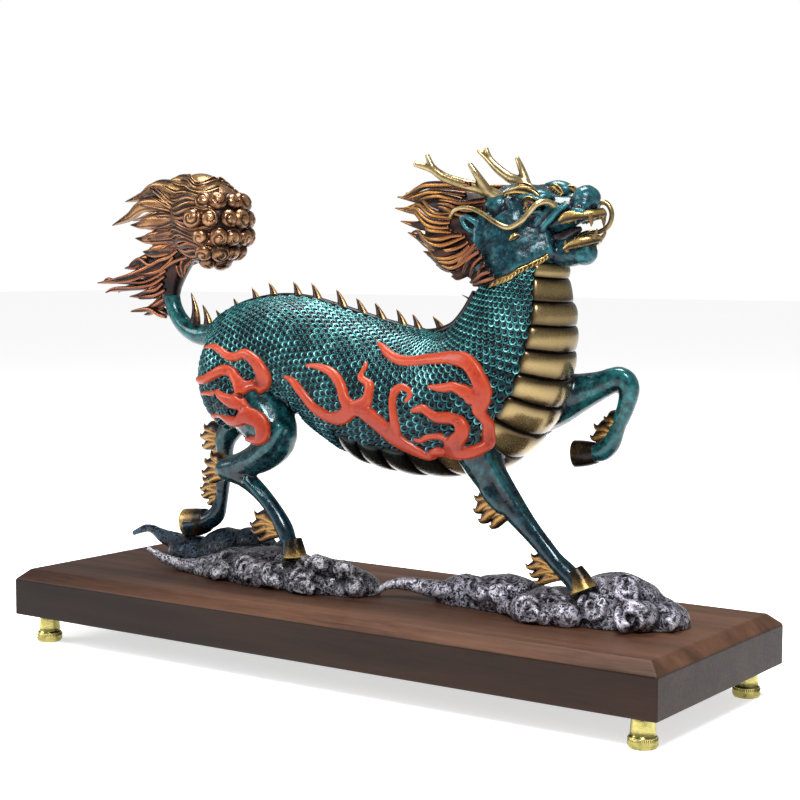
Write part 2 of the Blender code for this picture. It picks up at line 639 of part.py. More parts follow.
def trunk_point(share, angle, lift=0.0):
    """Give a skin point of the trunk: angle 0 is the belly line, positive to the far side."""
    x, z, heading, depth, width = trunk_at(share)
    turn = math.radians(heading)
    swing = math.radians(angle)
    down = (depth + lift) * math.cos(swing)
    across = (width + lift) * math.sin(swing)
    return (x + math.sin(turn) * down, across, z - math.cos(turn) * down)


def trunk_rings(steps=60, sides=40):
    """Rings of the trunk from rump to skull."""
    rings = []
    for step in range(steps + 1):
        share = step / steps
        rings.append([metres(trunk_point(share, 360.0 * k / sides)) for k in range(sides)])
    return rings


def lock_rod(root, bend, tip, radius):
    """Turn a lock of hair into a tapering rod with a lively bend."""
    last = Vector(tip) - Vector(bend)
    end = Vector(tip) + last.normalized() * TIP_ALLOWANCE / UNIT
    middle = Vector(bend) + last * 0.5 - Vector((0.0, 0.0, 1.2))
    return (
        (*root, radius),
        (*bend, radius * 0.82),
        (*middle, radius * 0.5),
        (*end, 1.0),
    )


def curl_rod(azimuth, height, radius):
    """One snail curl as a coil lying on the tail ball."""
    x0, y0, z0, a, b, c = TAIL_BALL
    out = Vector((
        math.cos(math.radians(azimuth)) * math.cos(math.radians(height)),
        math.sin(math.radians(azimuth)) * math.cos(math.radians(height)),
        math.sin(math.radians(height)),
    ))
    centre = Vector((x0 + a * out.x * 0.94, y0 + b * out.y * 0.94, z0 + c * out.z * 0.94))
    first = out.orthogonal().normalized()
    second = out.cross(first)
    coil = []
    for step in range(9):
        turn = step * math.radians(75)
        reach = radius * 0.72 * (1.0 - step / 9.0)
        lift = 1.0 + 0.35 * step
        point = centre + first * math.cos(turn) * reach + second * math.sin(turn) * reach + out * lift
        coil.append((point.x, point.y, point.z, radius * 0.3))
    return coil


def figure_clay():
    """Model every mass, limb, lock, plate and leaf of the figure as one heap of closed shapes."""
    bm = bmesh.new()
    add_loft(bm, trunk_rings())
    for mass in MASSES:
        add_mass(bm, mass)
    rods = list(LIMBS.values())
    for rod in PAIRED.values():
        rods.append(rod)
        rods.append(mirrored(rod))
    for lock in MANE:
        rods.append(lock_rod(*lock))
        rods.append(mirrored(lock_rod(*lock)))
    rods.extend(lock_rod(*lock) for lock in TAIL_LOCKS)
    rods.extend(curl_rod(*curl) for curl in CURLS)
    for share in PLATE_RIDGES:
        angles = np.linspace(-PLATE_HALF_ANGLE, PLATE_HALF_ANGLE, 7)
        rods.append([(*trunk_point(share, float(angle), 0.1), 1.7) for angle in angles])
    add_rods(bm, rods)
    for tip_x, tip_z, base_x, base_z, half in SPINES:
        add_leaf(bm, (base_x, 0, base_z), (tip_x, 0, tip_z), half, 2.4)
    for root, tip, half in TUFTS:
        add_leaf(bm, root, tip, half, 2.0)
    skin = BVHTree.FromBMesh(bm)
    add_rods(bm, flame_rods(skin))
    return bm


def flank_depth(skin, x, z, side):
    """Depth of the skin from the middle plane on one flank, or the edge's where the ray passes it by."""
    hit = skin.ray_cast(metres((x, side * FLAME_START, z)), Vector((0.0, -side, 0.0)))[0]
    depth = 0.0 if hit is None else side * hit.y / UNIT
    return depth if depth > 0.0 else FLAME_EDGE


def flame_rods(skin):
    """Lay the flame bands on both flanks of the skin."""
    rods = []
    for band in FLAMES:
        near, far = [], []
        for x, z, radius in band:
            depth = flank_depth(skin, x, z, -1.0)
            opposite = flank_depth(skin, x, z, 1.0)
            if abs(opposite - depth) > FLAME_STEP:
                opposite = depth
            near.append((x, -depth, z, radius))
            far.append((x, opposite, z, radius))
        rods.extend((near, far))
    return rods


def thin_out(item, triangles):
    """Reduce an object to about the wanted number of triangles."""
    mesh = bake(item)
    mesh.calc_loop_triangles()
    share = triangles / len(mesh.loop_triangles)
    bpy.data.meshes.remove(mesh)
    decimate = item.modifiers.new("thin_out", "DECIMATE")
    decimate.decimate_type = "COLLAPSE"
    decimate.ratio = share
    decimate.use_collapse_triangulate = True


def fuse(item, grain, rounds):
    """Fuse overlapping shapes into one skin and ease the joins."""
    remesh = item.modifiers.new("fuse", "REMESH")
    remesh.mode = "VOXEL"
    remesh.voxel_size = grain
    smooth = item.modifiers.new("ease", "SMOOTH")
    smooth.factor = 0.5
    smooth.iterations = rounds


def box_cutter(name, centre, size, collection):
    """Add a box used only for cutting."""
    bm = bmesh.new()
    bmesh.ops.create_cube(bm, size=1.0, matrix=Matrix.Translation(centre) @ Matrix.Diagonal((*size, 1.0)))
    return cutter(name, bm, collection)


def cylinder_cutter(name, centre, radius, depth, collection):
    """Add an upright cylinder used only for cutting."""
    bm = bmesh.new()
    bmesh.ops.create_cone(
        bm, cap_ends=True, segments=24, radius1=radius, radius2=radius, depth=depth,
        matrix=Matrix.Translation(centre),
    )
    return cutter(name, bm, collection)


def cutter(name, bm, collection):
    """Finish a cutter: closed mesh, wire display, not rendered."""
    mesh = bpy.data.meshes.new(name)
    bm.to_mesh(mesh)
    bm.free()
    item = new_object(name, mesh, collection)
    item.display_type = "WIRE"
    item.hide_render = True
    return item


def cut_with(item, tool):
    """Subtract a cutter from an object."""
    boolean = item.modifiers.new("cut_" + tool.name, "BOOLEAN")
    boolean.operation = "DIFFERENCE"
    boolean.solver = "EXACT"
    boolean.object = tool


def settle(mesh, level, reach, centre=None, radius=None):
    """Bring the vertices next to a seating plane exactly on to it."""
    for vertex in mesh.vertices:
        if abs(vertex.co.z - level) > reach:
            continue
        if centre is not None and math.dist(vertex.co.xy, centre) > radius:
            continue
        vertex.co.z = level


def tidy(mesh):
    """Weld, drop collapsed faces and turn the skin outward."""
    bm = bmesh.new()
    bm.from_mesh(mesh)
    bmesh.ops.remove_doubles(bm, verts=bm.verts, dist=5e-5)
    bmesh.ops.dissolve_degenerate(bm, edges=bm.edges, dist=5e-5)
    bmesh.ops.triangulate(bm, faces=bm.faces)
    bmesh.ops.recalc_face_normals(bm, faces=bm.faces)
    bm.to_mesh(mesh)
    bm.free()


def replace_with_baked(item, material):
    """Swap the object's mesh for its finished one and drop the modifiers."""
    mesh = bake(item)
    item.modifiers.clear()
    old = item.data
    item.data = mesh
    bpy.data.meshes.remove(old)
    mesh.name = item.name
    mesh.materials.clear()
    mesh.materials.append(material)
    return mesh


def build_figure(collection, cutters, material):
    """Model the figure, cut its soles flat and reduce it to a clean skin."""
    bm = figure_clay()
    mesh = bpy.data.meshes.new("qilin")
    bm.to_mesh(mesh)
    bm.free()
    figure = new_object("qilin", mesh, collection, material)
    fuse(figure, FIGURE_GRAIN, 2)
    for index, (x, y, level, radius, _cloud) in enumerate(SEATS):
        top = metres((x, y, level))
        size = Vector((2.0 * radius * UNIT, 2.0 * radius * UNIT, CUT_REACH))
        tool = box_cutter("sole_%d" % index, top - Vector((0.0, 0.0, size.z / 2)), size, cutters)
        cut_with(figure, tool)
    thin_out(figure, FIGURE_TRIANGLES)
    mesh = replace_with_baked(figure, material)
    for x, y, level, radius, _cloud in SEATS:
        top = metres((x, y, level))
        settle(mesh, top.z, SEAT_REACH, top.xy, radius * UNIT)
    tidy(mesh)
    return figure


def build_cloud(name, masses, rods, collection, cutters, material):
    """Model one cloud, cut it flat for the board and clear the hoof seats."""
    bm = bmesh.new()
    for mass in masses:
        add_mass(bm, mass)
    add_rods(bm, rods)
    mesh = bpy.data.meshes.new(name)
    bm.to_mesh(mesh)
    bm.free()
    cloud = new_object(name, mesh, collection, material)
    fuse(cloud, CLOUD_GRAIN, 2)
    base = BOARD_TOP + GAP
    size = Vector((2.0 * BOARD_LENGTH, 2.0 * BOARD_WIDTH, CUT_REACH))
    tool = box_cutter(name + "_base", Vector((0.0, 0.0, base - size.z / 2)), size, cutters)
    cut_with(cloud, tool)
    seats = [seat for seat in SEATS if name.startswith(seat[4])]
    for index, (x, y, level, radius, _cloud) in enumerate(seats):
        floor = metres((x, y, level)) - Vector((0.0, 0.0, GAP))
        centre = floor + Vector((0.0, 0.0, CUT_REACH / 2))
        tool = cylinder_cutter("%s_seat_%d" % (name, index), centre, radius * UNIT, CUT_REACH, cutters)
        cut_with(cloud, tool)
    thin_out(cloud, CLOUD_TRIANGLES)
    mesh = replace_with_baked(cloud, material)
    settle(mesh, base, SEAT_REACH)
    for x, y, level, radius, _cloud in seats:
        floor = metres((x, y, level))
        settle(mesh, floor.z - GAP, SEAT_REACH, floor.xy, radius * UNIT + GAP)
    tidy(mesh)
    return cloud


def build_board(collection, material):
    """Make the board: straight sides and a flat chamfer round the top."""
    bm = bmesh.new()
    half_x = BOARD_LENGTH / 2
    half_y = BOARD_WIDTH / 2
    levels = (
        (BOARD_UNDERSIDE, 0.0),
        (BOARD_UNDERSIDE + BOARD_SIDE_HEIGHT, 0.0),
        (BOARD_TOP, CHAMFER_RUN),
    )
    rings = []
    for z, inset in levels:
        x = half_x - inset
        y = half_y - inset
        rings.append([Vector((-x, -y, z)), Vector((x, -y, z)), Vector((x, y, z)), Vector((-x, y, z))])
    add_loft(bm, rings)
    mesh = bpy.data.meshes.new("board")
    bm.to_mesh(mesh)
    bm.free()
    board = new_object("board", mesh, collection, material)
    bevel = board.modifiers.new("soft_edges", "BEVEL")
    bevel.width = BOARD_EDGE_RADIUS
    bevel.segments = 2
    bevel.limit_method = "ANGLE"
    bevel.angle_limit = math.radians(20)
    return board


def build_foot(name, x, y, collection, material):
    """Turn one foot from its profile."""
    sole = FOOT_DIAMETER / 2
    profile = (
        (0.0, FOOT_LEVEL),
        (sole - FOOT_SOLE_ROUND, FOOT_LEVEL),
        (sole, FOOT_SOLE_ROUND),
        (sole, FOOT_COLLAR_HEIGHT),
        (FOOT_CONE_DIAMETER / 2, FOOT_COLLAR_HEIGHT + 0.0006),
        (FOOT_TOP_DIAMETER / 2, FOOT_HEIGHT - GAP),
        (0.0, FOOT_HEIGHT - GAP),
    )
    mesh = bpy.data.meshes.new(name)
    mesh.from_pydata([(radius, 0.0, z) for radius, z in profile], [(i, i + 1) for i in range(len(profile) - 1)], [])
    foot = new_object(name, mesh, collection, material)
    foot.location = (x, y, 0.0)
    turn = foot.modifiers.new("turned", "SCREW")
    turn.angle = math.radians(360)
    turn.steps = FOOT_SEGMENTS
    turn.render_steps = FOOT_SEGMENTS
    turn.use_merge_vertices = True
    turn.merge_threshold = 0.00002
    turn.use_normal_calculate = True
    return foot


def main():
    """Build the whole ornament."""
    clear_scene()
    parts = new_collection("qilin_ornament")
    cutters = new_collection("cutters", hidden=True)
    patina = new_material("patinated_bronze", (0.030, 0.130, 0.135), 0.6, 0.42)
    silver = new_material("antique_silver", (0.42, 0.42, 0.44), 0.8, 0.40)
    walnut = new_material("walnut", (0.105, 0.055, 0.036), 0.0, 0.50)
    brass = new_material("brass", (0.52, 0.44, 0.16), 1.0, 0.30)
    build_figure(parts, cutters, patina)
    build_cloud("rear_cloud", REAR_CLOUD_MASSES, REAR_CLOUD_RODS, parts, cutters, silver)
    build_cloud("front_cloud", FRONT_CLOUD_MASSES, FRONT_CLOUD_RODS, parts, cutters, silver)
    build_board(parts, walnut)
    reach_x = BOARD_LENGTH / 2 - FOOT_INSET
    reach_y = BOARD_WIDTH / 2 - FOOT_INSET
    corners = (
        ("foot_front_near", reach_x, -reach_y),
        ("foot_front_far", reach_x, reach_y),
        ("foot_rear_near", -reach_x, -reach_y),
        ("foot_rear_far", -reach_x, reach_y),
    )
    for name, x, y in corners:
        build_foot(name, x, y, parts, brass)


main()
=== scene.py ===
"""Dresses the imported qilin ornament: scales, flames, mane, tail, clouds, walnut board and turned feet."""

from __future__ import annotations

import json
import logging
import math
from collections.abc import Iterable, Sequence
from dataclasses import dataclass, replace
from enum import Enum

import bpy
import numpy as np
from mathutils import Matrix, Vector, noise
from mathutils.bvhtree import BVHTree

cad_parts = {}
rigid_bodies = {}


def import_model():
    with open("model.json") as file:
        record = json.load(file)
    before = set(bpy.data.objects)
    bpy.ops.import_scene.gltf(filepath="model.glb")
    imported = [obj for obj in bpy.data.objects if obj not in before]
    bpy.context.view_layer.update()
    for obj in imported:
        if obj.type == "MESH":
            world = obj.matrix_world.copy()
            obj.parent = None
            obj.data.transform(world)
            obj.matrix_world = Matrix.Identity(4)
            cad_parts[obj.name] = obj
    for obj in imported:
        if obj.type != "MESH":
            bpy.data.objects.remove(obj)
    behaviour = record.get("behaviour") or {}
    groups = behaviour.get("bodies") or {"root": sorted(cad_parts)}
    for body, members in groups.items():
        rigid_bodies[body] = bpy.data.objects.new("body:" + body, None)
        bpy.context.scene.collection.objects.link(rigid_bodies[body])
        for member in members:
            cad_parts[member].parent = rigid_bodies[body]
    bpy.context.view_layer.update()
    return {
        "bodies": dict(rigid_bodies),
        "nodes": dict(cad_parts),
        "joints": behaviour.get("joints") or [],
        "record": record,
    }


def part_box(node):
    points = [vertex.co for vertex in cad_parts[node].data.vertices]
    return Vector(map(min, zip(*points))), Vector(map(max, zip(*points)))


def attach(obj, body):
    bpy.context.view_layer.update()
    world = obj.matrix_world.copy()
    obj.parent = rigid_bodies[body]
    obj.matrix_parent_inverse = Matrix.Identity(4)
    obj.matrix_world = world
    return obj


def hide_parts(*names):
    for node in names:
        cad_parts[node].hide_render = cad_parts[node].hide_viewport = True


log = logging.getLogger("qilin_ornament")

Colour = tuple[float, float, float]
Row = tuple[float, ...]

# Length of the qilin's box on its own grid, which gives the metres to a grid unit.
QILIN_SPAN = 356.5265

# Trunk stations: x, z, heading in degrees, half depth, half width.
TRUNK = (
    (-113, 134, 0, 11, 10), (-105, 129.5, 0, 21.5, 19), (-90, 127, 0, 29.5, 26.5),
    (-67, 127, -4, 33.5, 29.5), (-45, 128, -10, 31.5, 30), (-21, 118.5, -16, 34.5, 31.5),
    (3, 110.3, -12, 38.2, 32.5), (25, 106.3, -4, 38.2, 33), (46, 106, 14, 38.5, 33.5),
    (64.5, 110, 36, 40, 33.5), (80.5, 123.5, 60, 37.5, 32.5), (88.5, 141, 79, 32.8, 29),
    (94, 157, 85, 27.4, 24.5), (96, 171, 84, 21.8, 21), (97.5, 184, 80, 19.3, 18.5),
    (98, 196, 78, 14, 15),
)

TAIL_BALL = (-119.5, 0, 203.5, 23.5, 22, 24.5)

# Masses: centre x, y, z and the three half axes.
BODY_MASSES = (
    (-85, -16, 116, 25, 15.5, 30), (-88, 16, 116, 25, 15.5, 29),
    (67, -19.5, 110, 22, 13.5, 28), (70, 19.5, 112, 23, 13.5, 26),
)

HEAD_MASSES = (
    (97, 0, 204.5, 20, 16.5, 17), (92, -8, 189, 19, 12.5, 17.5),
    (92, 8, 189, 19, 12.5, 17.5), (84, -8.5, 184, 13.5, 12, 14),
    (84, 8.5, 184, 13.5, 12, 14), (104, -7, 192, 11, 8.5, 9),
    (104, 7, 192, 11, 8.5, 9), (106.5, -9.5, 214.6, 9.5, 5.5, 4),
    (108, 9.5, 218.6, 9.5, 5.5, 5), (130.5, 0, 213.6, 7.2, 7.6, 6.8),
    (131, -5.4, 210.4, 4.6, 3.6, 3.2), (131, 5.4, 210.4, 4.6, 3.6, 3.2),
    (129.6, 0, 185.4, 6.2, 7, 5.4), (77, -13, 206.5, 7.5, 6, 8),
    (77, 13, 207.5, 7.5, 6, 8), (84, -10.5, 210, 9.5, 8, 8.5),
    (84, 10.5, 211, 9.5, 8, 9), (90, 0, 215, 12, 12, 7),
)

TAIL_MASSES = ((-127, 0, 212.5, 20, 16, 20.5), TAIL_BALL)

# Legs: rows of x, y, z and radius.
LEGS = {
    "near_hind_thigh": (
        (-80, -17, 108, 19), (-62, -20, 94, 16.5), (-54.5, -21, 83, 13),
        (-61, -22, 73.5, 10), (-75, -22, 67, 7.8), (-89, -22, 63.5, 6.8),
    ),
    "near_hind_shank": (
        (-95, -22, 65, 3.5), (-90, -22, 63.5, 6.6), (-76, -22, 59, 5.6), (-63.5, -22, 51, 4.8),
        (-53.5, -22, 41.5, 4.7), (-47, -22, 32.5, 5.2), (-43.5, -22, 25.5, 4.6),
        (-41, -22, 19, 5.8), (-39.5, -22, 13.5, 6.8),
    ),
    "far_hind": (
        (-94, 16, 110, 20), (-106, 18.5, 97, 13.5), (-117, 20, 86, 9),
        (-126, 20, 74, 6.6), (-126.5, 20, 59, 4.6), (-128, 20, 46, 4.2),
        (-130, 20, 36, 4.4), (-133.5, 20, 28, 5.6), (-141, 20, 23.5, 6.2),
        (-149, 20, 21.5, 7.4), (-156, 20, 20, 7.4),
    ),
    "near_fore": (
        (72, -18.5, 98, 15.5), (79, -17, 82, 12), (85.5, -16, 70, 9.2),
        (95.5, -16, 58.5, 7.2), (104.5, -16, 49.5, 5.9), (114, -16, 40, 4.7),
        (123.6, -16, 31, 4.7), (131.6, -16, 24.8, 5.2), (136.5, -16, 20, 5.2),
        (140.5, -16, 13.5, 6.2),
    ),
    "far_fore": (
        (84, 19, 107, 19), (100, 20, 109, 15.5), (114, 21, 113, 11),
        (128, 22, 118, 7.6), (139.5, 22, 122, 6.3), (144.5, 22, 117, 5.6),
        (142.6, 22, 107, 4.7), (138.3, 22, 97.5, 4.4), (134.5, 22, 88.5, 5.2),
        (129.5, 22, 83.5, 5.2), (123, 22, 82.3, 4.8), (115.5, 22, 81.5, 5.2),
    ),
}

# Tendons and muscles of the legs.
LEG_FORMS = (
    ((82, -24, 92, 2.6), (93, -21.5, 72, 2.8), (103.5, -19.5, 57, 2.3), (116, -18, 42.5, 1.9),
     (127, -17.5, 32, 1.7)),
    ((80, -18, 72, 4.2), (88, -20.5, 62.5, 4.8), (95, -20, 54, 3)),
    ((88, -16, 79, 3), (97.5, -16, 66, 2.6), (110.5, -16, 49.5, 2), (124, -16, 35.5, 1.6)),
    ((-72, -26.5, 59, 2.6), (-61, -25.5, 49, 2), (-52, -25, 37.5, 1.8), (-45, -25.5, 26, 2)),
    ((-46, -26, 92, 5), (-52, -29, 80, 5), (-64, -28, 71.5, 4), (-82, -26, 66, 3)),
    ((-57, -19, 44, 2.4), (-50.5, -20, 34, 2.2), (-43, -20, 27, 2.2)),
    ((136, 20, 124.5, 3.4), (143, 20, 123.5, 3.8), (147, 20.5, 117.5, 3.2)),
    ((146, 20.5, 113, 2.2), (142.5, 20, 101, 1.8), (137.5, 19.5, 91, 2.2)),
    ((-126, 16, 72, 3), (-127, 17, 58, 2.2), (-129, 17, 44, 2.2)),
)

TAIL_STEM = (
    (-104, 0, 140, 10), (-118, 0, 138.5, 7.5), (-130, 0, 138.5, 6.2),
    (-141, 0, 144, 5.4), (-148.5, 0, 154, 5), (-150.5, 0, 166, 5.2),
    (-148, 0, 178, 6.4), (-140, 0, 189, 9), (-132, 0, 198, 10),
)

TAIL_SHEATH = (
    (-150.5, 0, 160, 5.3), (-150.5, 0, 167, 6.6), (-147, 0, 177, 8.2), (-140, 0, 189, 9.6),
    (-132, 0, 198, 10),
)

BACK_RIDGE = (
    (-121, 0, 139.5, 2.2), (-106, 0, 150, 2.2), (-90, 0, 156.4, 2.2),
    (-67, 0, 160.2, 2.2), (-45, 0, 159.2, 2.2), (-21, 0, 154, 2.2), (3, 0, 148.2, 2.2),
    (23, 0, 144, 2.2), (36, 0, 142.4, 2.2), (50, 0, 146.2, 2.2), (58.5, 0, 154, 2.2),
    (65.5, 0, 164.5, 2.2),
)

# Horns: rows of x, y, z and radius.
HORNS = {
    "near_horn": (
        (92, -8, 211, 3.8), (79.7, -17.5, 218.6, 3.2), (68.8, -22, 221.9, 2.8),
        (60.9, -25, 225, 2.5), (54.8, -27, 229.2, 2.1), (44.5, -28, 232, 1.4),
    ),
    "near_horn_fork": (
        (58.5, -26, 227, 1.9), (54.5, -27, 231, 1.7), (52, -27.5, 236.8, 1.2),
    ),
    "near_horn_tine": (
        (82.5, -16.5, 217, 2.8), (79, -21.5, 225.5, 2), (75, -23, 231.8, 1.3),
    ),
    "far_horn": (
        (94, 8, 213, 3.8), (83.7, 17.5, 222.6, 3.2), (71.9, 22, 226.2, 2.8),
        (61.9, 25, 231.9, 2.5), (54.9, 27, 237.3, 2), (48, 28, 242, 1.3),
    ),
    "far_horn_fork": (
        (58, 26, 235, 1.9), (55, 27.2, 238.8, 1.6), (53.2, 27.5, 243.2, 1.2),
    ),
    "far_horn_tine": (
        (85.9, 16.5, 221, 2.8), (79.6, 21.5, 230.2, 2), (75.5, 23, 237, 1.3),
    ),
}

# Whiskers: rows of x, y, z and radius.
WHISKERS = (
    (
        (131, 8, 211.5, 1.6), (136.5, 9.5, 211.5, 1.4), (139.5, 10, 206.5, 1.3),
        (138, 10, 200.5, 1.3), (133, 9.5, 197, 1.3), (127, 8, 196.5, 1.4),
        (121, 6, 194, 1.6),
    ),
    (
        (118, -9.5, 209.5, 1.8), (116, -14.5, 211.8, 1.5), (112.5, -18.5, 210.5, 1.5),
        (108.5, -20, 206, 1.4), (104.5, -21.5, 201.6, 1.4), (98, -22, 198.9, 1.4),
        (91, -22, 201.2, 1.4), (84, -22.5, 205.5, 1.4), (77.5, -23.5, 208.6, 1.3),
        (71.5, -24, 209.2, 1.2), (66.8, -24, 207.8, 1.2), (63.5, -23, 204.5, 1.2),
        (60.5, -20, 200.5, 1.4),
    ),
)

# Skull, snout and jaw.
HEAD_RODS = (
    (
        (104, 0, 206, 12.5), (116, 0, 206, 9.6), (126, 0, 208, 7),
        (135, 0, 208.5, 5.5),
    ),
    (
        (92, 0, 188, 13), (106, 0, 186.5, 9.5), (120, 0, 186.5, 7.6),
        (130, 0, 187.5, 6.6), (134.5, 0, 188.5, 5.2),
    ),
)

# Back edge of the near cheek, mirrored to the far side.
CHEEK_RODS = (
    ((80, -14, 206, 6), (80, -16, 192, 6.5), (82, -14, 180, 5.5)),
    ((81, -14.5, 204, 7), (79.5, -15.5, 192, 7.6), (80.5, -15.5, 182, 7.4), (85, -15.5, 177, 6)),
)

# Folds of the near side of the face, mirrored to the far side.
HEAD_FOLDS = (
    ((98, -12, 214.5, 1.6), (105, -14.5, 214.5, 2.4), (111, -13.5, 212.5, 2), (115, -10.5, 210.5, 1.2)),
    ((100.5, -14.2, 208, 0.8), (106, -15.2, 206.8, 1.2), (112, -13.6, 207.4, 0.9)),
    ((124, -8, 210.5, 1.6), (120, -10, 207.5, 2), (115, -11, 202.5, 2), (110.5, -11.5, 197.5, 1.4)),
    ((119, -9, 211.5, 1.2), (114, -11, 207.5, 1.7), (109.5, -12.5, 202.5, 1.7), (106.5, -13, 197.5, 1.2)),
    ((92, -13, 213, 1.8), (96, -15, 208.5, 2), (97.5, -15.5, 203, 2.2), (96, -16, 198, 1.6)),
    ((126.5, -8, 208.2, 1), (130.5, -9.8, 207.2, 1.5), (134.5, -8.6, 207, 1.2)),
    ((69, -22.5, 204.8, 0.7), (72, -22.5, 205, 1.3), (76, -22, 203.2, 1.7), (81, -19.5, 200, 2.4)),
    ((69, -22.5, 204.8, 0.7), (71, -22.5, 201.5, 1.2), (74, -21.5, 198, 1.5), (80, -19.5, 196, 2.2)),
    ((72, -19.5, 202.5, 1.8), (76, -18, 200.5, 2.6), (82, -16, 198, 4)),
)

# Gilt leaves and lips of the near side: rows of x, y, z and radius, flatness and carved lines.
GILT = (
    (((88, -13, 215.6, 0.5), (93, -14, 217, 1.5), (99, -14.5, 218, 2.3), (105, -14.5, 217.4, 2.4),
      (109.5, -14, 215.2, 1.8), (112, -13.5, 212.8, 0.6)), 0.6, 5),
    (((95, -10, 221, 0.4), (100, -11.5, 220.8, 1.3), (105, -12, 219.4, 1.2), (108.5, -12.5, 217, 0.4)),
     0.6, 4),
    (((112, -6.5, 219, 0.4), (116, -8, 219.6, 1.5), (119.5, -8.5, 217.8, 1.7), (121.5, -8, 215.6, 0.5)),
     0.6, 4),
    (((121.5, -11.8, 201.8, 1.2), (125, -11.2, 204, 2.9), (129.5, -10.2, 205, 2.6), (134, -8, 205.4, 2.4),
      (138, -4.8, 206, 2.3), (140.2, 0, 206.8, 2.1)), 0.55, 3),
    (((122.5, -9, 188, 0.8), (126, -8.4, 190.2, 1.9), (130.5, -7.4, 191.8, 2.6), (134.5, -5.4, 192.8, 2.4),
      (137, -2.6, 193.4, 2), (137.8, 0, 193.6, 1.8)), 0.6, 3),
    (((98, -21, 192.4, 0.4), (100.5, -20.8, 194.6, 1.6), (103, -19.4, 195.4, 0.4)), 0.5, 3),
    (((103.4, -17.4, 208, 0.2), (104.6, -17.8, 209, 0.6), (105.2, -17.8, 210.4, 0.2)), 0.8, 1),
    (((105.4, -17.6, 206.6, 0.2), (106.2, -18, 207.8, 0.6), (106.6, -18, 209.2, 0.2)), 0.8, 1),
    (((107.8, -17.2, 206, 0.2), (108.2, -17.6, 207.2, 0.6), (108.4, -17.6, 208.6, 0.2)), 0.8, 1),
    (((102.5, -16.4, 211.6, 0.3), (105, -17.8, 213.4, 0.9), (108.6, -17.4, 213.6, 0.9),
      (111.6, -15.2, 211.6, 0.3)), 0.8, 2),
)

# Teeth of the near side.
TEETH = (
    ((136, -6.5, 206, 1.5), (136.8, -6.7, 203, 1.2), (137, -6.6, 199.4, 0.3)),
    ((139.3, -3, 206.5, 1.1), (139.8, -3, 203, 0.3)),
    ((129, -8.5, 203.5, 1), (129.3, -8.6, 200.8, 0.3)),
    ((125.5, -9.3, 203.4, 1), (125.7, -9.4, 200.9, 0.3)),
    ((123.7, -6.7, 186.9, 1.5), (123.5, -8.3, 189.8, 1.2), (124.3, -10.2, 192.5, 0.3)),
    ((136.5, -4.6, 193.5, 1.2), (138.6, -4.6, 196, 0.8), (139, -4.4, 198.4, 0.3)),
    ((128.5, -8.2, 191, 0.9), (128.7, -8.2, 194, 0.3)),
    ((132, -7.4, 191.5, 0.9), (132.2, -7.4, 194.2, 0.3)),
)

TONGUE = (
    (106, 0, 191, 6), (113, 0, 192, 4.8), (119, 0, 194.5, 3.6), (124, 0, 197.2, 2.6),
    (127.5, 0, 198.6, 1.2),
)

# Ball, pupil and nostril of the near side; the nostril is a dark ball of painted shade in place of the
# opening.
EYE = (106.8, -16.1, 210.6, 3.2, 2.6, 2.5)
PUPIL = (107.8, -18.2, 210.5, 1.5, 0.9, 1.5)
NOSTRIL = (131.0, -9.2, 208.9, 2.4, 0.9, 1.3)

# Lower edge of the near cheek: x and z.
FRINGE = (
    (115.5, 185.5), (113, 183.5), (110.5, 182), (106.5, 179.5), (103.5, 178), (100.5, 175.5),
    (97, 174), (93, 173), (88, 171.5),
)

# Mane locks of the near side: root, bend, tip and the root radius.
MANE = (
    ((84, -6, 213), (54, -9, 218), (26, -9, 218), 5),
    ((84, -11, 211), (56, -15, 215), (22, -11, 216), 5.5),
    ((82, -14, 210), (54, -19, 209), (22, -13, 210), 5.5),
    ((81, -15, 204), (56, -21, 201), (27, -15, 203), 5.5),
    ((80, -16, 198), (56, -22, 193), (31, -14, 197), 5.5),
    ((80, -17, 192), (60, -22, 186), (41, -14, 187), 5),
    ((80, -17, 187), (64, -21, 180), (49, -14, 180), 5),
    ((80, -16, 182), (68, -19, 176), (58, -13, 174), 4.5),
    ((82, -15, 178), (76, -16, 174), (68, -11, 171), 4),
    ((82, -4, 213), (52, -5, 214), (26, -4, 210), 7),
    ((80, -6, 202), (54, -8, 204), (30, -6, 203), 8),
    ((80, -6, 192), (58, -8, 192), (38, -6, 191), 8),
    ((80, -6, 184), (64, -8, 182), (51, -6, 179), 7),
)

# The ball that fills the mane behind the skull.
MANE_CORE = (71, 0, 205, 17, 14.5, 10.5)

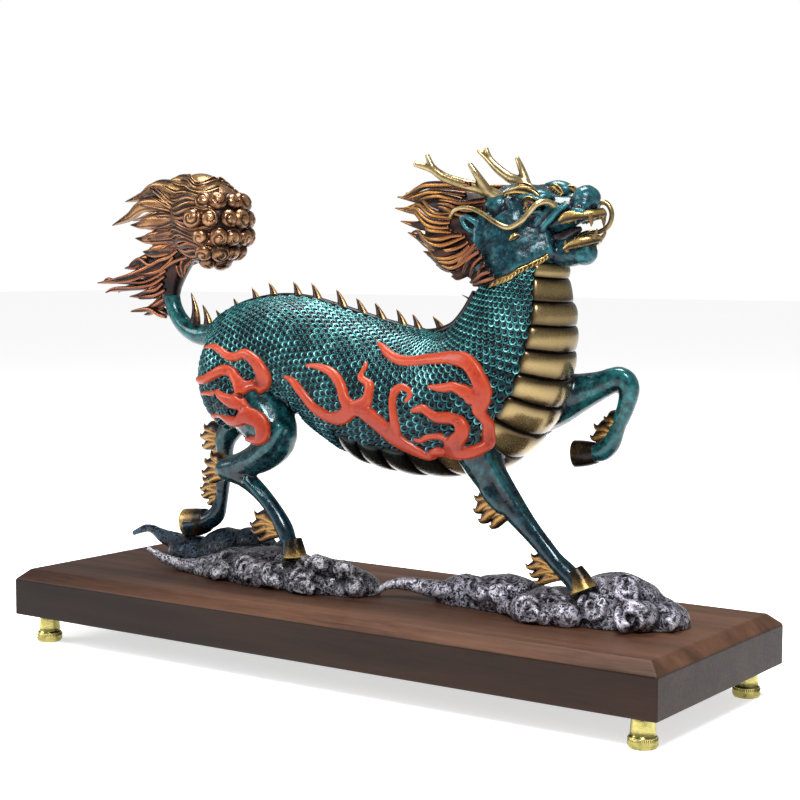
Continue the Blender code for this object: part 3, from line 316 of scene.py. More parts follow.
# Combed strands on the near side of the mane: x and z.
MANE_STRANDS = (
    ((76, 221), (59.5, 221.5), (45.5, 221.5), (38.5, 220), (32, 217.5), (26.5, 215.5)),
    ((74, 218.5), (61, 219), (50.5, 219.5), (42.5, 218), (34.5, 216.5), (27, 215)),
    ((69.5, 216), (60.5, 217), (52, 217.5), (45, 217.5), (37.5, 216), (29.5, 214.5)),
    ((69, 213), (61, 214.5), (54, 215.5), (47, 215), (39.5, 214)),
    ((66.5, 207.5), (59.5, 206.5), (53.5, 207.5), (48.5, 210), (42, 213), (35.5, 212.5),
     (30.5, 211), (25.5, 209.5)),
    ((65, 204.5), (58.5, 205), (51.5, 206), (46, 208.5), (40, 211), (35, 210.5), (29.5, 208.5)),
    ((64.5, 202), (58, 202), (51.5, 203), (45.5, 206), (41.5, 208.5), (37, 209), (31, 208)),
    ((63.5, 199.5), (57, 199.5), (50.5, 200.5), (45, 203.5), (41, 206), (38, 207.5),
     (33.5, 207.5)),
    ((65.5, 197), (58, 197.5), (51.5, 198), (46, 200.5), (41.5, 203.5), (38.5, 205.5)),
    ((73, 195), (68.5, 193), (63.5, 191), (58.5, 190), (52.5, 191), (46, 194), (40, 197.5),
     (34, 197)),
    ((74.5, 192), (69.5, 189), (62, 187.5), (53.5, 187.5), (46, 189.5), (40.5, 193),
     (37.5, 195.5)),
    ((71.5, 195.5), (66, 195), (61, 193.5), (56, 193), (50.5, 193.5), (44, 195.5)),
    ((75.5, 190), (71, 186), (64, 183.5), (56, 183.5), (50, 186), (45, 189.5), (41.5, 192)),
    ((80, 190), (75, 187), (71, 182.5), (69, 178.5), (67.5, 176.5)),
    ((82.5, 187), (77.5, 184.5), (73.5, 181), (71, 175.5)),
    ((84.5, 184.5), (80, 182), (76, 178.5), (73, 173.5)),
    ((86.5, 180.5), (82, 178.5), (79, 175), (76.5, 172)),
    ((90.5, 177), (85.5, 175.5), (81.5, 173), (78, 171)),
    ((78.5, 191), (72, 185), (66, 181.5), (58, 181.5), (51.5, 184), (45.5, 185.5)),
    ((77.5, 188.5), (72, 181.5), (66, 178.5), (60.5, 179), (54, 181.5), (47.5, 184.5)),
    ((93.5, 174), (88.5, 172.5), (83.5, 171), (78, 169.5)),
    ((82, 213), (75, 212), (68, 211.5), (61, 212.5), (54, 213.5)),
    ((81, 209), (74.5, 208), (68, 208.5), (61.5, 210.5), (55, 211.5)),
    ((73, 205.5), (68, 206), (62, 208), (56, 210)),
)

# Tail locks: root, bend, tip and the root radius.
TAIL_LOCKS = (
    ((-118, 0, 222), (-142, 0, 228), (-163, 0, 222), 6),
    ((-124, -8, 220), (-150, -10, 225), (-180, -8, 217), 5.5),
    ((-124, 8, 220), (-150, 10, 225), (-178, 8, 218), 5.5),
    ((-128, -10, 214), (-158, -12, 215), (-194, -5, 203), 5.5),
    ((-128, 10, 214), (-156, 12, 216), (-188, 7, 206), 5.5),
    ((-130, -12, 206), (-154, -12, 205), (-176, -8, 203), 5.5),
    ((-130, 12, 206), (-154, 12, 205), (-178, 8, 201), 5.5),
    ((-130, -10, 198), (-152, -11, 196), (-172, -8, 195), 5.5),
    ((-130, 10, 198), (-152, 11, 196), (-173, 8, 193), 5.5),
    ((-134, -5, 192), (-153, -8, 188), (-167, -7, 187), 5.5),
    ((-134, 5, 192), (-156, 8, 188), (-184, 5, 178), 5.5),
    ((-136, 0, 188), (-168, -4, 182), (-184, -5, 177), 4.5),
    ((-140, -2, 187), (-170, -7, 174), (-204, -8, 168), 4.2),
    ((-142, 2, 183), (-170, 1, 170), (-200, 0, 163), 4),
    ((-146, -2, 176), (-162, -4, 164), (-181, -4, 160), 4),
    ((-148, 2, 172), (-162, 3, 158), (-178, 2, 151), 3.6),
    ((-148, 0, 162), (-161, -2, 154), (-173, 0, 149), 3.4),
    ((-128, -6, 186), (-133, -8, 180), (-133, -8, 173), 3.6),
    ((-143, -3, 184), (-138, -6, 177), (-135, -6, 172), 3.4),
)

# Combed strands of the near side of the tail: x and z.
TAIL_STRANDS = (
    ((-136.5, 188), (-144, 184), (-152, 182), (-160.5, 179), (-169, 182.5), (-175.5, 181),
     (-180, 178.5)),
    ((-140.5, 184), (-148, 179), (-156, 175), (-164.5, 173.5), (-170.5, 173.5)),
    ((-147.5, 176), (-158, 172), (-168.5, 169), (-180, 169), (-192, 169.5), (-197, 170.5),
     (-202.5, 168)),
    ((-149, 172.5), (-159, 168), (-170.5, 166), (-183, 165), (-194, 164.5), (-200, 162)),
    ((-151, 168.5), (-157, 164.5), (-165.5, 163), (-171, 161)),
    ((-150, 164.5), (-158.5, 161), (-166.5, 160), (-172.5, 159)),
    ((-150, 148.5), (-155.5, 149.5), (-163.5, 152.5), (-172, 152), (-179, 151)),
    ((-127, 184), (-137.5, 182), (-147, 178), (-154, 172), (-154.5, 164.5)),
)

# Rows of snail curls on the tail ball: height angle, first azimuth, step and count.
CURLS = (
    (31, -62, 24.8, 6), (6, -76, 25.3, 7), (-19, -66, 26.4, 6), (-44, -66, 33, 5),
    (-69, -60, 60, 3),
)

# Thorns of the back: tip x, z, base x, z and half length.
SPINES = (
    (-135, 163, -133.5, 142, 5.5),
    (-126, 156, -122, 141, 5.5),
    (-115.5, 153, -109.5, 143, 6),
    (-102, 160, -97, 148.5, 6.5),
    (-88, 166.5, -84, 154.5, 6.5),
    (-75.5, 169.8, -71, 157, 6.5),
    (-57.5, 170.4, -54, 157.5, 6.5),
    (-44.5, 169.6, -40, 156.5, 6.5),
    (-27, 166.2, -22.5, 152.5, 7),
    (-13.2, 161.8, -8, 149, 7),
    (-0.5, 159.2, 4.5, 146.5, 7),
    (14, 156, 18.5, 143, 6.5),
    (24.5, 153.5, 29, 141, 6),
    (37.8, 152.6, 46.5, 141, 8),
    (56, 164.4, 67, 161.5, 5),
)

# Leaf tufts of the legs: root, tip, half width.
TUFTS = (
    ((-88, -22, 64), (-107.6, -23.1, 72.7), 4.9),
    ((-88, -22, 63), (-111.9, -23.1, 65.2), 4.9),
    ((-88, -22, 61), (-107.4, -23.1, 58.9), 4.6),
    ((-52, -22, 36), (-76, -23.1, 38.2), 4.3),
    ((-50, -22, 34), (-75, -23.1, 33.6), 4.3),
    ((-49, -22, 31), (-69.7, -23.1, 28.2), 4.1),
    ((-128, 20, 78), (-150.4, 20, 80.2), 5.4),
    ((-128, 20, 74), (-149.3, 20, 72.9), 5.4),
    ((-128, 20, 68), (-141.4, 20, 65.8), 4.6),
    ((-129, 20, 48), (-151.4, 20, 46.9), 4.9),
    ((-129, 20, 44), (-150.3, 20, 42.3), 4.9),
    ((-129, 20, 40), (-144.7, 20, 36.6), 4.3),
    ((92, -17, 62), (70.7, -19.2, 55.3), 5.7),
    ((94, -17, 58), (73.8, -19.2, 49.6), 5.7),
    ((97, -17, 55), (81.3, -19.2, 46), 4.9),
    ((124, -16, 29), (102.7, -17.1, 31.2), 4.1),
    ((125, -16, 27), (104.8, -17.1, 25.9), 4.1),
    ((127, -16, 24), (108, -17.1, 21.8), 3.8),
    ((141, 22, 100), (125.3, 22, 99.4), 4.9),
    ((139, 22, 95), (117.7, 22, 94.4), 4.9),
    ((137, 22, 92), (122.4, 22, 89.8), 4.3),
)

# Hooves: rows of x, y, z and radius from the pastern to the sole.
HOOVES = (
    ((-40.6, -22, 27.5, 4.7), (-40, -22, 22.5, 5.9), (-39.4, -22, 17.2, 7)),
    ((134.5, -16, 27, 4.8), (137.8, -16, 22.3, 5.8), (140.2, -16, 17.4, 6.9)),
    ((126, 22, 82.6, 5.2), (120, 22, 81.9, 6.3), (113.5, 22, 81.3, 6.7)),
    ((-141, 20, 24, 6.8), (-148, 20, 22.2, 7.9), (-158, 20, 21.2, 7.9)),
)

# Belly plates: shares of the trunk's run where they meet.
PLATE_RIDGES = (
    0.935, 0.89, 0.828, 0.777, 0.735, 0.702, 0.672, 0.64, 0.608, 0.573, 0.54, 0.5, 0.46, 0.42, 0.385,
)

# Flame bands of the near flank: rows of x, z and radius.
FLAMES = (
    ((-110, 130, 0.9), (-100, 132, 1.1), (-93, 133, 1.6), (-86, 131, 1.9), (-80, 128, 2.2),
     (-75, 128, 2.3), (-68, 130, 2.5), (-61, 127, 3), (-57, 123, 3.6), (-55, 118, 4.1),
     (-58, 113, 3.8), (-60, 109, 2.2)),
    ((-120, 112, 0.9), (-116, 114, 1.6), (-100, 114, 2.2), (-91, 117, 2.5), (-84, 120, 2.7),
     (-78, 120, 2.7), (-73, 116, 2.7), (-69, 112, 3.6), (-67, 108, 3.3)),
    ((-104, 106, 0.9), (-95, 107, 1.4), (-83, 107, 1.9), (-77, 105, 2.7), (-70, 103, 3.3),
     (-65, 102, 2.5)),
    ((-107, 91, 0.9), (-96, 94, 1.4), (-84, 95, 1.6), (-75, 93, 2.5), (-67, 93, 2.7),
     (-62, 96, 3.8), (-57, 95, 4.1), (-53, 92, 3.8), (-52, 86, 3.6), (-55, 83, 2.7),
     (-61, 83, 1.9), (-67, 83, 1)),
    ((-68, 110, 3.3), (-64, 112, 2.7), (-58, 113, 3.3)),
    ((-66, 104, 2.2), (-62, 100, 1.9), (-60, 98, 2.2)),
    ((-40, 119, 0.9), (-34, 117, 1.9), (-30, 114, 2.5), (-24, 108, 2.7), (-19, 103, 2.7),
     (-13, 100, 2.9), (-6, 98, 3), (2, 99, 3.6), (8, 103, 3.8)),
    ((-24, 125, 0.9), (-18, 125, 1.4), (-12, 124, 1.9), (-6, 122, 2.3), (-1, 118, 2.6),
     (2, 114, 2.7), (4, 109, 3), (8, 104, 3.6)),
    ((14, 128, 0.9), (15, 126, 1.4), (14, 123, 1.4), (13, 120, 1.6), (17, 118, 1.9),
     (20, 116, 2.5), (20, 112, 2.6), (19, 108, 3), (14, 105, 3.6)),
    ((8, 103, 3.6), (14, 104, 3.8), (20, 101, 3.8), (26, 97, 3.8), (32, 93, 4.1), (37, 89, 3.8),
     (42, 86, 3.3), (48, 83, 2.7), (53, 81, 2.2), (59, 83, 1.9)),
    ((37, 92, 2.7), (37, 98, 2.5), (36, 105, 2.2), (36, 110, 2.2), (37, 114, 2.2), (41, 116, 1.9),
     (45, 115, 1.6), (47, 113, 1.5), (45, 110, 1.2), (43, 109, 0.9)),
    ((16, 138, 0.9), (20, 136, 1.6), (25, 133, 2.2), (32, 130, 2.5), (38, 129, 2.6),
     (44, 129, 2.6), (51, 130, 2.7), (59, 131, 2.7), (67, 132, 3), (74, 132, 3.3), (80, 131, 3.6),
     (85, 127, 3.6), (88, 122, 3.7), (90, 117, 3.8), (89, 112, 3.8), (87, 107, 3.3),
     (88, 104, 2.5), (90, 100, 2.7), (89, 95, 3), (88, 90, 2.9), (86, 87, 2.7), (82, 85, 2.9),
     (76, 84, 2.9), (66, 84, 2.7), (60, 84, 2.5), (56, 83, 1.9), (52, 80, 1.1)),
    ((57, 117, 0.9), (61, 117, 1.4), (67, 117, 2.1), (73, 118, 2.3), (77, 117, 2.7),
     (82, 115, 3.3), (85, 112, 3.6)),
    ((47, 104, 0.9), (50, 105, 1.5), (55, 106, 2.1), (59, 104, 2.3), (63, 102, 2.5),
     (68, 102, 2.7), (72, 102, 2.7), (76, 100, 3), (78, 97, 3.2), (77, 93, 3.4), (74, 90, 3.6),
     (69, 86, 3)),
    ((47, 90, 0.9), (51, 89, 1.4), (55, 91, 1.6), (60, 92, 1.6), (64, 92, 1.8), (69, 91, 1.9),
     (71, 88, 1.9)),
)

REAR_CLOUD_MASSES = (
    (-62, -13, 4, 34, 22, 15.5), (-28, -15, 3, 30, 20, 14),
    (-2, -16, 2, 14, 14, 11), (-96, -12, 2, 26, 17, 9.5),
    (-122, 20, 2, 26, 14, 19), (-150, 20, 2, 20, 13, 11.5),
    (-96, 8, 2, 28, 20, 12), (-106, 21, 2, 22, 12, 20.5),
    (-62, 0, 4, 14, 9, 19), (-14, -24, 13, 6.5, 6.5, 6.5), (1, -21, 10, 5.8, 5.8, 6),
    (5, -24, 4, 6, 6, 6), (-26, -30, 6, 9, 7, 8), (-56, -29, 6, 10, 7, 9),
    (-84, -26, 5, 9, 6, 7),
)

REAR_CLOUD_RODS = (
    (
        (-92, -18, 7, 8.5), (-116, -20, 3.5, 5), (-134, -22, 5.5, 3),
        (-149, -24, 12, 1.5),
    ),
    (
        (-156, 20, 7, 7), (-176, 21, 10, 4.5), (-191, 22, 14, 3),
        (-205, 22, 9.5, 1.5),
    ),
    (
        (-18, -30, 13, 3), (-22, -31, 17, 3), (-16, -31, 19.5, 3),
        (-13, -30, 14, 2.6),
    ),
    ((-3, -26, 10, 3), (-6, -27, 15, 3), (0, -27, 17, 3), (4, -25, 11, 2.6)),
    ((-31, -34, 2, 4), (-24, -36, 5.5, 4), (-16, -34, 2, 4)),
    ((-98, -28, 2, 3.6), (-93, -30, 5, 3.6), (-86, -32, 2, 3.6)),
    ((-58, -32, 2, 3.8), (-48, -33, 5, 3.8), (-40, -32, 2, 3.8)),
)

FRONT_CLOUD_MASSES = (
    (151, 1, 3, 27, 23, 22.5), (168, 4, 2, 20, 18, 13),
    (122, -8, 2, 27, 21, 14), (88, -3, 2, 28, 14, 16.5),
    (64, -4, 2, 20, 11, 14), (172, -14, 8, 8, 8, 8), (112, -24, 6, 9, 7, 8),
    (84, -13, 8, 10, 7, 8), (134, -24, 5, 9, 6, 7),
)

FRONT_CLOUD_RODS = (
    (
        (62, -8, 6, 7), (46, -12, 7.5, 5), (32, -16, 9, 3.5), (22, -19, 7.5, 2.2),
        (16, -20, 3.5, 1.5),
    ),
    (
        (176, -16, 12, 3.4), (170, -21, 13, 3.4), (164, -23, 8, 3.4),
        (169, -25, 3, 3.4),
    ),
    ((112, -28, 2, 3.8), (119, -30, 6, 3.8), (127, -27, 2, 3.8)),
    ((176, 6, 10, 4.5), (183, -2, 6, 4), (184, -10, 4, 3.4)),
    ((92, -15, 2, 3.4), (100, -20, 5, 3.6), (108, -24, 2, 3.6)),
)

# Scrolls on the clouds' sides: x, y, z and radius.
REAR_CURLS = (
    (-14, -31, 17, 5), (1, -28, 14, 4.6), (5, -27, 7, 4.8), (-23, -37, 7, 7),
    (-45, -35, 8, 6.5), (-66, -33, 9, 6.5), (-88, -28, 6, 5), (-34, -22, 17, 5),
)

FRONT_CURLS = (
    (171, -24, 8, 8.5), (114, -27, 7, 6.5), (127, -24, 10, 6), (91, -16, 11, 6),
    (74, -12, 10, 5), (149, -22, 10, 7), (160, -8, 20, 7),
)

# Hoof seats: x, y, height of the sole, radius, which cloud.
SEATS = (
    (-40, -22, 17, 8.2, "rear"),
    (-151.5, 20, 13.2, 15.5, "rear"),
    (139.5, -16, 17.2, 8.4, "front"),
)


class Side(Enum):
    """Side of the figure: the near side carries negative y."""

    NEAR = 1.0
    FAR = -1.0


class Mark(Enum):
    """Names of the vertex values that the finishes read."""

    RELIEF = "relief"
    RIDGE = "ridge"
    TINT = "tint"


@dataclass(frozen=True)
class Grid:
    """The figure's own grid: units along x, y and up from the top of the board."""

    unit: float
    top: float

    def place(self, points: np.ndarray) -> np.ndarray:
        """Turn grid points into metres.

        Args:
            points: Rows of x, y, z on the grid.

        Returns:
            The same points in the object's frame.
        """
        placed = np.asarray(points, float)[:, :3] * self.unit
        placed[:, 2] += self.top
        return placed

    def read(self, points: np.ndarray) -> np.ndarray:
        """Turn metres back into grid points.

        Args:
            points: Rows of x, y, z in metres.

        Returns:
            The points on the grid.
        """
        found = np.array(points, float)
        found[:, 2] -= self.top
        return found / self.unit


def read_between(table: np.ndarray, spots: np.ndarray) -> np.ndarray:
    """Read a table of stations at places between its rows, on a smooth curve.

    Args:
        table: The stations, one a row.
        spots: Places as row numbers with fractions.

    Returns:
        One row for each place.
    """
    index = np.clip(spots.astype(int), 0, len(table) - 2)
    share = (spots - index)[:, None]
    before, start, end, after = (table[np.clip(index + k, 0, len(table) - 1)] for k in (-1, 0, 1, 2))
    slope = (end - before) / 2
    leave = (after - start) / 2
    bend = 2 * (start - end) + slope + leave
    rise = 3 * (end - start) - 2 * slope - leave
    return start + share * (slope + share * (rise + share * bend))


def smooth_path(rows: Iterable[Row], steps: int) -> np.ndarray:
    """Run a smooth curve of some steps through rows of numbers."""
    table = np.asarray(list(rows), float)
    return read_between(table, np.linspace(0.0, len(table) - 1.0, steps))


def normalised(vectors: np.ndarray) -> np.ndarray:
    """Bring rows to unit length."""
    return vectors / np.maximum(np.linalg.norm(vectors, axis=-1, keepdims=True), 1e-12)


def flipped(path: Iterable[Row]) -> list[Row]:
    """Mirror a path to the other side."""
    return [(row[0], -row[1], *row[2:]) for row in path]


def both_sides(path: Iterable[Row]) -> tuple[tuple[np.ndarray, Row], ...]:
    """Give a near path and its mirror image, each with the side that it faces."""
    return (np.array(path), (0.0, -1.0, 0.0)), (np.array(flipped(path)), (0.0, 1.0, 0.0))


def pointing(azimuth: float, height: float) -> np.ndarray:
    """Give the direction at two angles in radians."""
    flat = math.cos(height)
    return np.array((math.cos(azimuth) * flat, math.sin(azimuth) * flat, math.sin(height)))


def linked(name: str, data: bpy.types.ID) -> bpy.types.Object:
    """Make an object of some data and link it to the scene."""
    item = bpy.data.objects.new(name, data)
    bpy.context.scene.collection.objects.link(item)
    return item


def mesh_of(name: str, points: Iterable[Row], faces: Iterable[Sequence[int]]) -> bpy.types.Mesh:
    """Make a mesh of points and faces."""
    mesh = bpy.data.meshes.new(name)
    mesh.from_pydata(points, [], faces)
    return mesh


def trunk_at(share: np.ndarray) -> np.ndarray:
    """Read x, z, heading, half depth and half width at shares of the trunk, rump 0 to skull 1."""
    return read_between(np.asarray(TRUNK, float), np.clip(share, 0.0, 1.0) * (len(TRUNK) - 1))


def trunk_points(share: np.ndarray, angle: np.ndarray, lift: np.ndarray | float = 0.0) -> np.ndarray:
    """Give skin points of the trunk.

    Args:
        share: Shares of the trunk's run.
        angle: Degrees from the belly line, positive to the far side.
        lift: Height over the trunk's skin.

    Returns:
        Rows of x, y, z on the grid.
    """
    x, z, heading, depth, width = trunk_at(share).T
    turn = np.radians(heading)
    swing = np.radians(angle)
    down = (depth + lift) * np.cos(swing)
    across = (width + lift) * np.sin(swing)
    return np.stack((x + np.sin(turn) * down, across, z - np.cos(turn) * down), axis=1)


class Clay:
    """A heap of closed shapes drawn on the figure grid."""

    def __init__(self) -> None:
        """Start an empty heap."""
        self.points: list[np.ndarray] = []
        self.faces: list[tuple[int, ...]] = []
        self.ridges: list[np.ndarray] = []
        self.count = 0

    def add(
        self, points: np.ndarray, faces: Iterable[Sequence[int]], ridge: np.ndarray | None = None
    ) -> None:
        """Add one closed shape.

        Args:
            points: Its corners on the grid.
            faces: Its faces as corner numbers.
            ridge: A value from 0 in grooves to 1 on ridges for each corner.
        """
        self.points.append(np.asarray(points, float))
        self.faces.extend(tuple(int(i) + self.count for i in face) for face in faces)
        self.ridges.append(np.full(len(points), 0.5) if ridge is None else ridge)
        self.count += len(points)

    def ball(self, mass: Row, rings: int = 20, sides: int = 30) -> None:
        """Add an ellipsoid.

        Args:
            mass: Centre x, y, z and the three half axes.
            rings: Rows from pole to pole.
            sides: Points round each row.
        """
        centre = np.array(mass[:3])
        axes = np.array(mass[3:6])
        lat = np.linspace(-math.pi / 2, math.pi / 2, rings + 2)[1:-1]
        lon = np.arange(sides) * 2 * math.pi / sides
        body = np.stack(
            (
                np.outer(np.cos(lat), np.cos(lon)).ravel(),
                np.outer(np.cos(lat), np.sin(lon)).ravel(),
                np.outer(np.sin(lat), np.ones(sides)).ravel(),
            ),
            axis=1,
        )
        points = np.vstack((body, (0, 0, -1), (0, 0, 1))) * axes + centre
        self.add(points, tube_faces(rings, sides))

    def sweep(
        self,
        path: np.ndarray,
        sides: int = 12,
        flat: float = 1.0,
        out: Row = (0.0, -1.0, 0.0),
        lobes: int = 0,
        depth: float = 0.18,
        twist: float = 0.0,
        shade: np.ndarray | None = None,
    ) -> None:
        """Sweep a round, flattened or grooved section along a path.

        Args:
            path: Rows of x, y, z and radius.
            sides: Points round the section.
            flat: Thickness of the section as a share of its width.
            out: Direction that the thin side faces.
            lobes: Number of carved strands round the section.
            depth: Depth of the grooves as a share of the radius.
            twist: Turns of the strands along the path.
            shade: A ridge value for each point of the path, in place of the strands' own.
        """
        spine = path[:, :3]
        tangent = normalised(np.gradient(spine, axis=0))
        normal = np.empty_like(tangent)
        last = np.asarray(out, float)
        if abs(np.dot(last, tangent[0])) > 0.95:
            last = np.array((0.0, 0.0, 1.0))
        for i, along in enumerate(tangent):
            last = last - along * np.dot(last, along)
            last = last / max(np.linalg.norm(last), 1e-9)
            normal[i] = last
        across = np.cross(tangent, normal)
        angle = np.arange(sides) * 2 * math.pi / sides
        phase = np.linspace(0.0, twist * 2 * math.pi, len(path))
        wave = np.cos(lobes * (angle[None, :] + phase[:, None])) if lobes else np.zeros((len(path), sides))
        reach = path[:, 3:4] * (1.0 + depth * wave)
        body = (
            spine[:, None, :]
            + across[:, None, :] * (reach * np.cos(angle))[:, :, None]
            + normal[:, None, :] * (reach * np.sin(angle) * flat)[:, :, None]
        )
        points = np.vstack((body.reshape(-1, 3), spine[0], spine[-1]))
        ridge = 0.5 + 0.5 * wave if shade is None else np.repeat(shade[:, None], sides, axis=1)
        marks = np.concatenate((ridge.ravel(), (0.3, 0.9) if shade is None else (shade[0], shade[-1])))
        self.add(points, tube_faces(len(path), sides, outward=False), marks)

    def rod(self, rows: Iterable[Row], sides: int = 14) -> None:
        """Add a smooth round member through rows of x, y, z and radius."""
        table = list(rows)
        self.sweep(smooth_path(table, 4 * (len(table) - 1) + 1), sides)

    def mesh(self, name: str, grid: Grid) -> bpy.types.Mesh:
        """Make one mesh of the heap.

        Args:
            name: Name of the mesh.
            grid: The grid that the heap is drawn on.

        Returns:
            The mesh in metres, with its ridge values.
        """
        mesh = mesh_of(name, grid.place(np.vstack(self.points)).tolist(), self.faces)
        set_mark(mesh, Mark.RIDGE, np.concatenate(self.ridges))
        return mesh


def lock_path(root: Row, bend: Row, tip: Row, radius: float, thin: float) -> np.ndarray:
    """Draw one lock of hair from its root to its tip.

    Args:
        root: Where it grows.
        bend: Where it turns.
        tip: Where it ends.
        radius: Radius at the root.
        thin: Share of the radius to keep.

    Returns:
        Rows of x, y, z and radius.
    """
    middle = np.array(bend) * 0.5 + np.array(tip) * 0.5 - (0.0, 0.0, 1.2)
    wide = radius * thin
    return smooth_path(((*root, wide), (*bend, wide * 0.81), (*middle, wide * 0.5), (*tip, 0.3)), 22)


def strand(hair: Clay, run: Iterable[Row], out: Row, thick: float) -> None:
    """Add one combed strand: thick in the middle, drawn out to a point.

    Args:
        hair: The heap to add to.
        run: Points that it follows.
        out: The side that it faces.
        thick: Its radius in the middle.
    """
    path = smooth_path(run, 6 * len(run))
    share = np.linspace(0, 1, len(path))
    radius = thick * np.clip(np.sin(np.pi * (0.18 + 0.82 * share)), 0.0, 1.0) ** 0.6
    rows = np.column_stack((path, np.maximum(radius, 0.12)))
    hair.sweep(rows, 14, 0.8, out, lobes=3, depth=0.11, twist=0.2)


def tube_faces(rings: int, sides: int, outward: bool = True) -> list[tuple[int, ...]]:
    """Give the faces of a capped tube whose last two points are its poles.

    Args:
        rings: Rings of the tube.
        sides: Points round each ring.
        outward: Whether the rings run anticlockwise seen from the last pole.

    Returns:
        Faces as corner numbers, facing out.
    """
    faces: list[tuple[int, ...]] = []
    for ring in range(rings - 1):
        for k in range(sides):
            n = (k + 1) % sides
            a, b = ring * sides, (ring + 1) * sides
            faces.append((a + k, a + n, b + n, b + k))
    start, end, last = rings * sides, rings * sides + 1, (rings - 1) * sides
    for k in range(sides):
        n = (k + 1) % sides
        faces.append((n, k, start))
        faces.append((last + k, last + n, end))
    return faces if outward else [tuple(reversed(face)) for face in faces]


def set_mark(mesh: bpy.types.Mesh, mark: Mark, values: np.ndarray) -> None:
    """Write a value for each vertex."""
    held = mesh.attributes.get(mark.value) or mesh.attributes.new(mark.value, "FLOAT", "POINT")
    held.data.foreach_set("value", np.asarray(values, np.float32))


def coordinates(mesh: bpy.types.Mesh) -> np.ndarray:
    """Read the vertices as rows."""
    found = np.empty(len(mesh.vertices) * 3)
    mesh.vertices.foreach_get("co", found)
    return found.reshape(-1, 3)


def normals(mesh: bpy.types.Mesh) -> np.ndarray:
    """Read the vertex normals as rows."""
    found = np.empty(len(mesh.vertices) * 3)
    mesh.vertex_normals.foreach_get("vector", found)
    return found.reshape(-1, 3)


def move_to(mesh: bpy.types.Mesh, points: np.ndarray) -> None:
    """Write the vertices back."""
    mesh.vertices.foreach_set("co", points.astype(np.float32).ravel())
    mesh.update()


def worked_in(item: bpy.types.Object) -> bpy.types.Mesh:
    """Give the object's mesh with its modifiers worked in, and remove the object."""
    graph = bpy.context.evaluated_depsgraph_get()
    mesh = bpy.data.meshes.new_from_object(item.evaluated_get(graph), depsgraph=graph)
    old = item.data
    bpy.data.objects.remove(item, do_unlink=True)
    if isinstance(old, bpy.types.Mesh) and old.users == 0:
        bpy.data.meshes.remove(old)
    return mesh


def fused(mesh: bpy.types.Mesh, grain: float, rounds: int) -> bpy.types.Mesh:
    """Fuse overlapping shapes into one skin.

    Args:
        mesh: The heap of closed shapes.
        grain: Size of the skin's grain in metres.
        rounds: Rounds of easing over the joins.

    Returns:
        The fused mesh.
    """
    item = linked("clay", mesh)
    remesh = item.modifiers.new("fuse", "REMESH")
    remesh.mode = "VOXEL"
    remesh.voxel_size = grain
    ease = item.modifiers.new("ease", "SMOOTH")
    ease.factor = 0.5
    ease.iterations = rounds
    return worked_in(item)


def mark_relief(mesh: bpy.types.Mesh, spread: int, height: float) -> None:
    """Mark how far each vertex stands over the smoothed skin, 0.5 where it is level.

    Args:
        mesh: The mesh to mark.
        spread: Rounds of averaging that make the smoothed skin.
        height: Height in metres that counts as full relief.
    """
    points = coordinates(mesh)
    edges = np.empty(len(mesh.edges) * 2, np.int64)
    mesh.edges.foreach_get("vertices", edges)
    a, b = edges.reshape(-1, 2).T
    count = len(points)
    valence = np.maximum(np.bincount(a, minlength=count) + np.bincount(b, minlength=count), 1)
    level = points.copy()
    for _ in range(spread):
        level = np.stack(
            [
                (np.bincount(a, level[b, k], count) + np.bincount(b, level[a, k], count)) / valence
                for k in range(3)
            ],
            axis=1,
        )
    rise = ((points - level) * normals(mesh)).sum(1)
    set_mark(mesh, Mark.RELIEF, np.clip(0.5 + 0.5 * rise / height, 0.0, 1.0))


def roughened(mesh: bpy.types.Mesh, size: float, height: float, ridged: bool = False) -> None:
    """Push the skin in and out by a fixed pattern of noise.

    Args:
        mesh: The mesh to work.
        size: Size of a bump in metres.
        height: Height of a bump in metres.
        ridged: Whether the bumps fold into sharp ridges.
    """
    points = coordinates(mesh)
    lifts = np.empty(len(points))
    for i, point in enumerate(points):
        spot = Vector(point / size)
        value = noise.noise(spot) + 0.5 * noise.noise(spot * 2.1)
        lifts[i] = 0.5 - abs(value) * 1.6 if ridged else value
    move_to(mesh, points + normals(mesh) * (lifts * height)[:, None])


def tree_of(mesh: bpy.types.Mesh) -> BVHTree:
    """Make a search tree of a mesh."""
    return BVHTree.FromPolygons(
        [v.co[:] for v in mesh.vertices], [tuple(p.vertices) for p in mesh.polygons], epsilon=0.0
    )


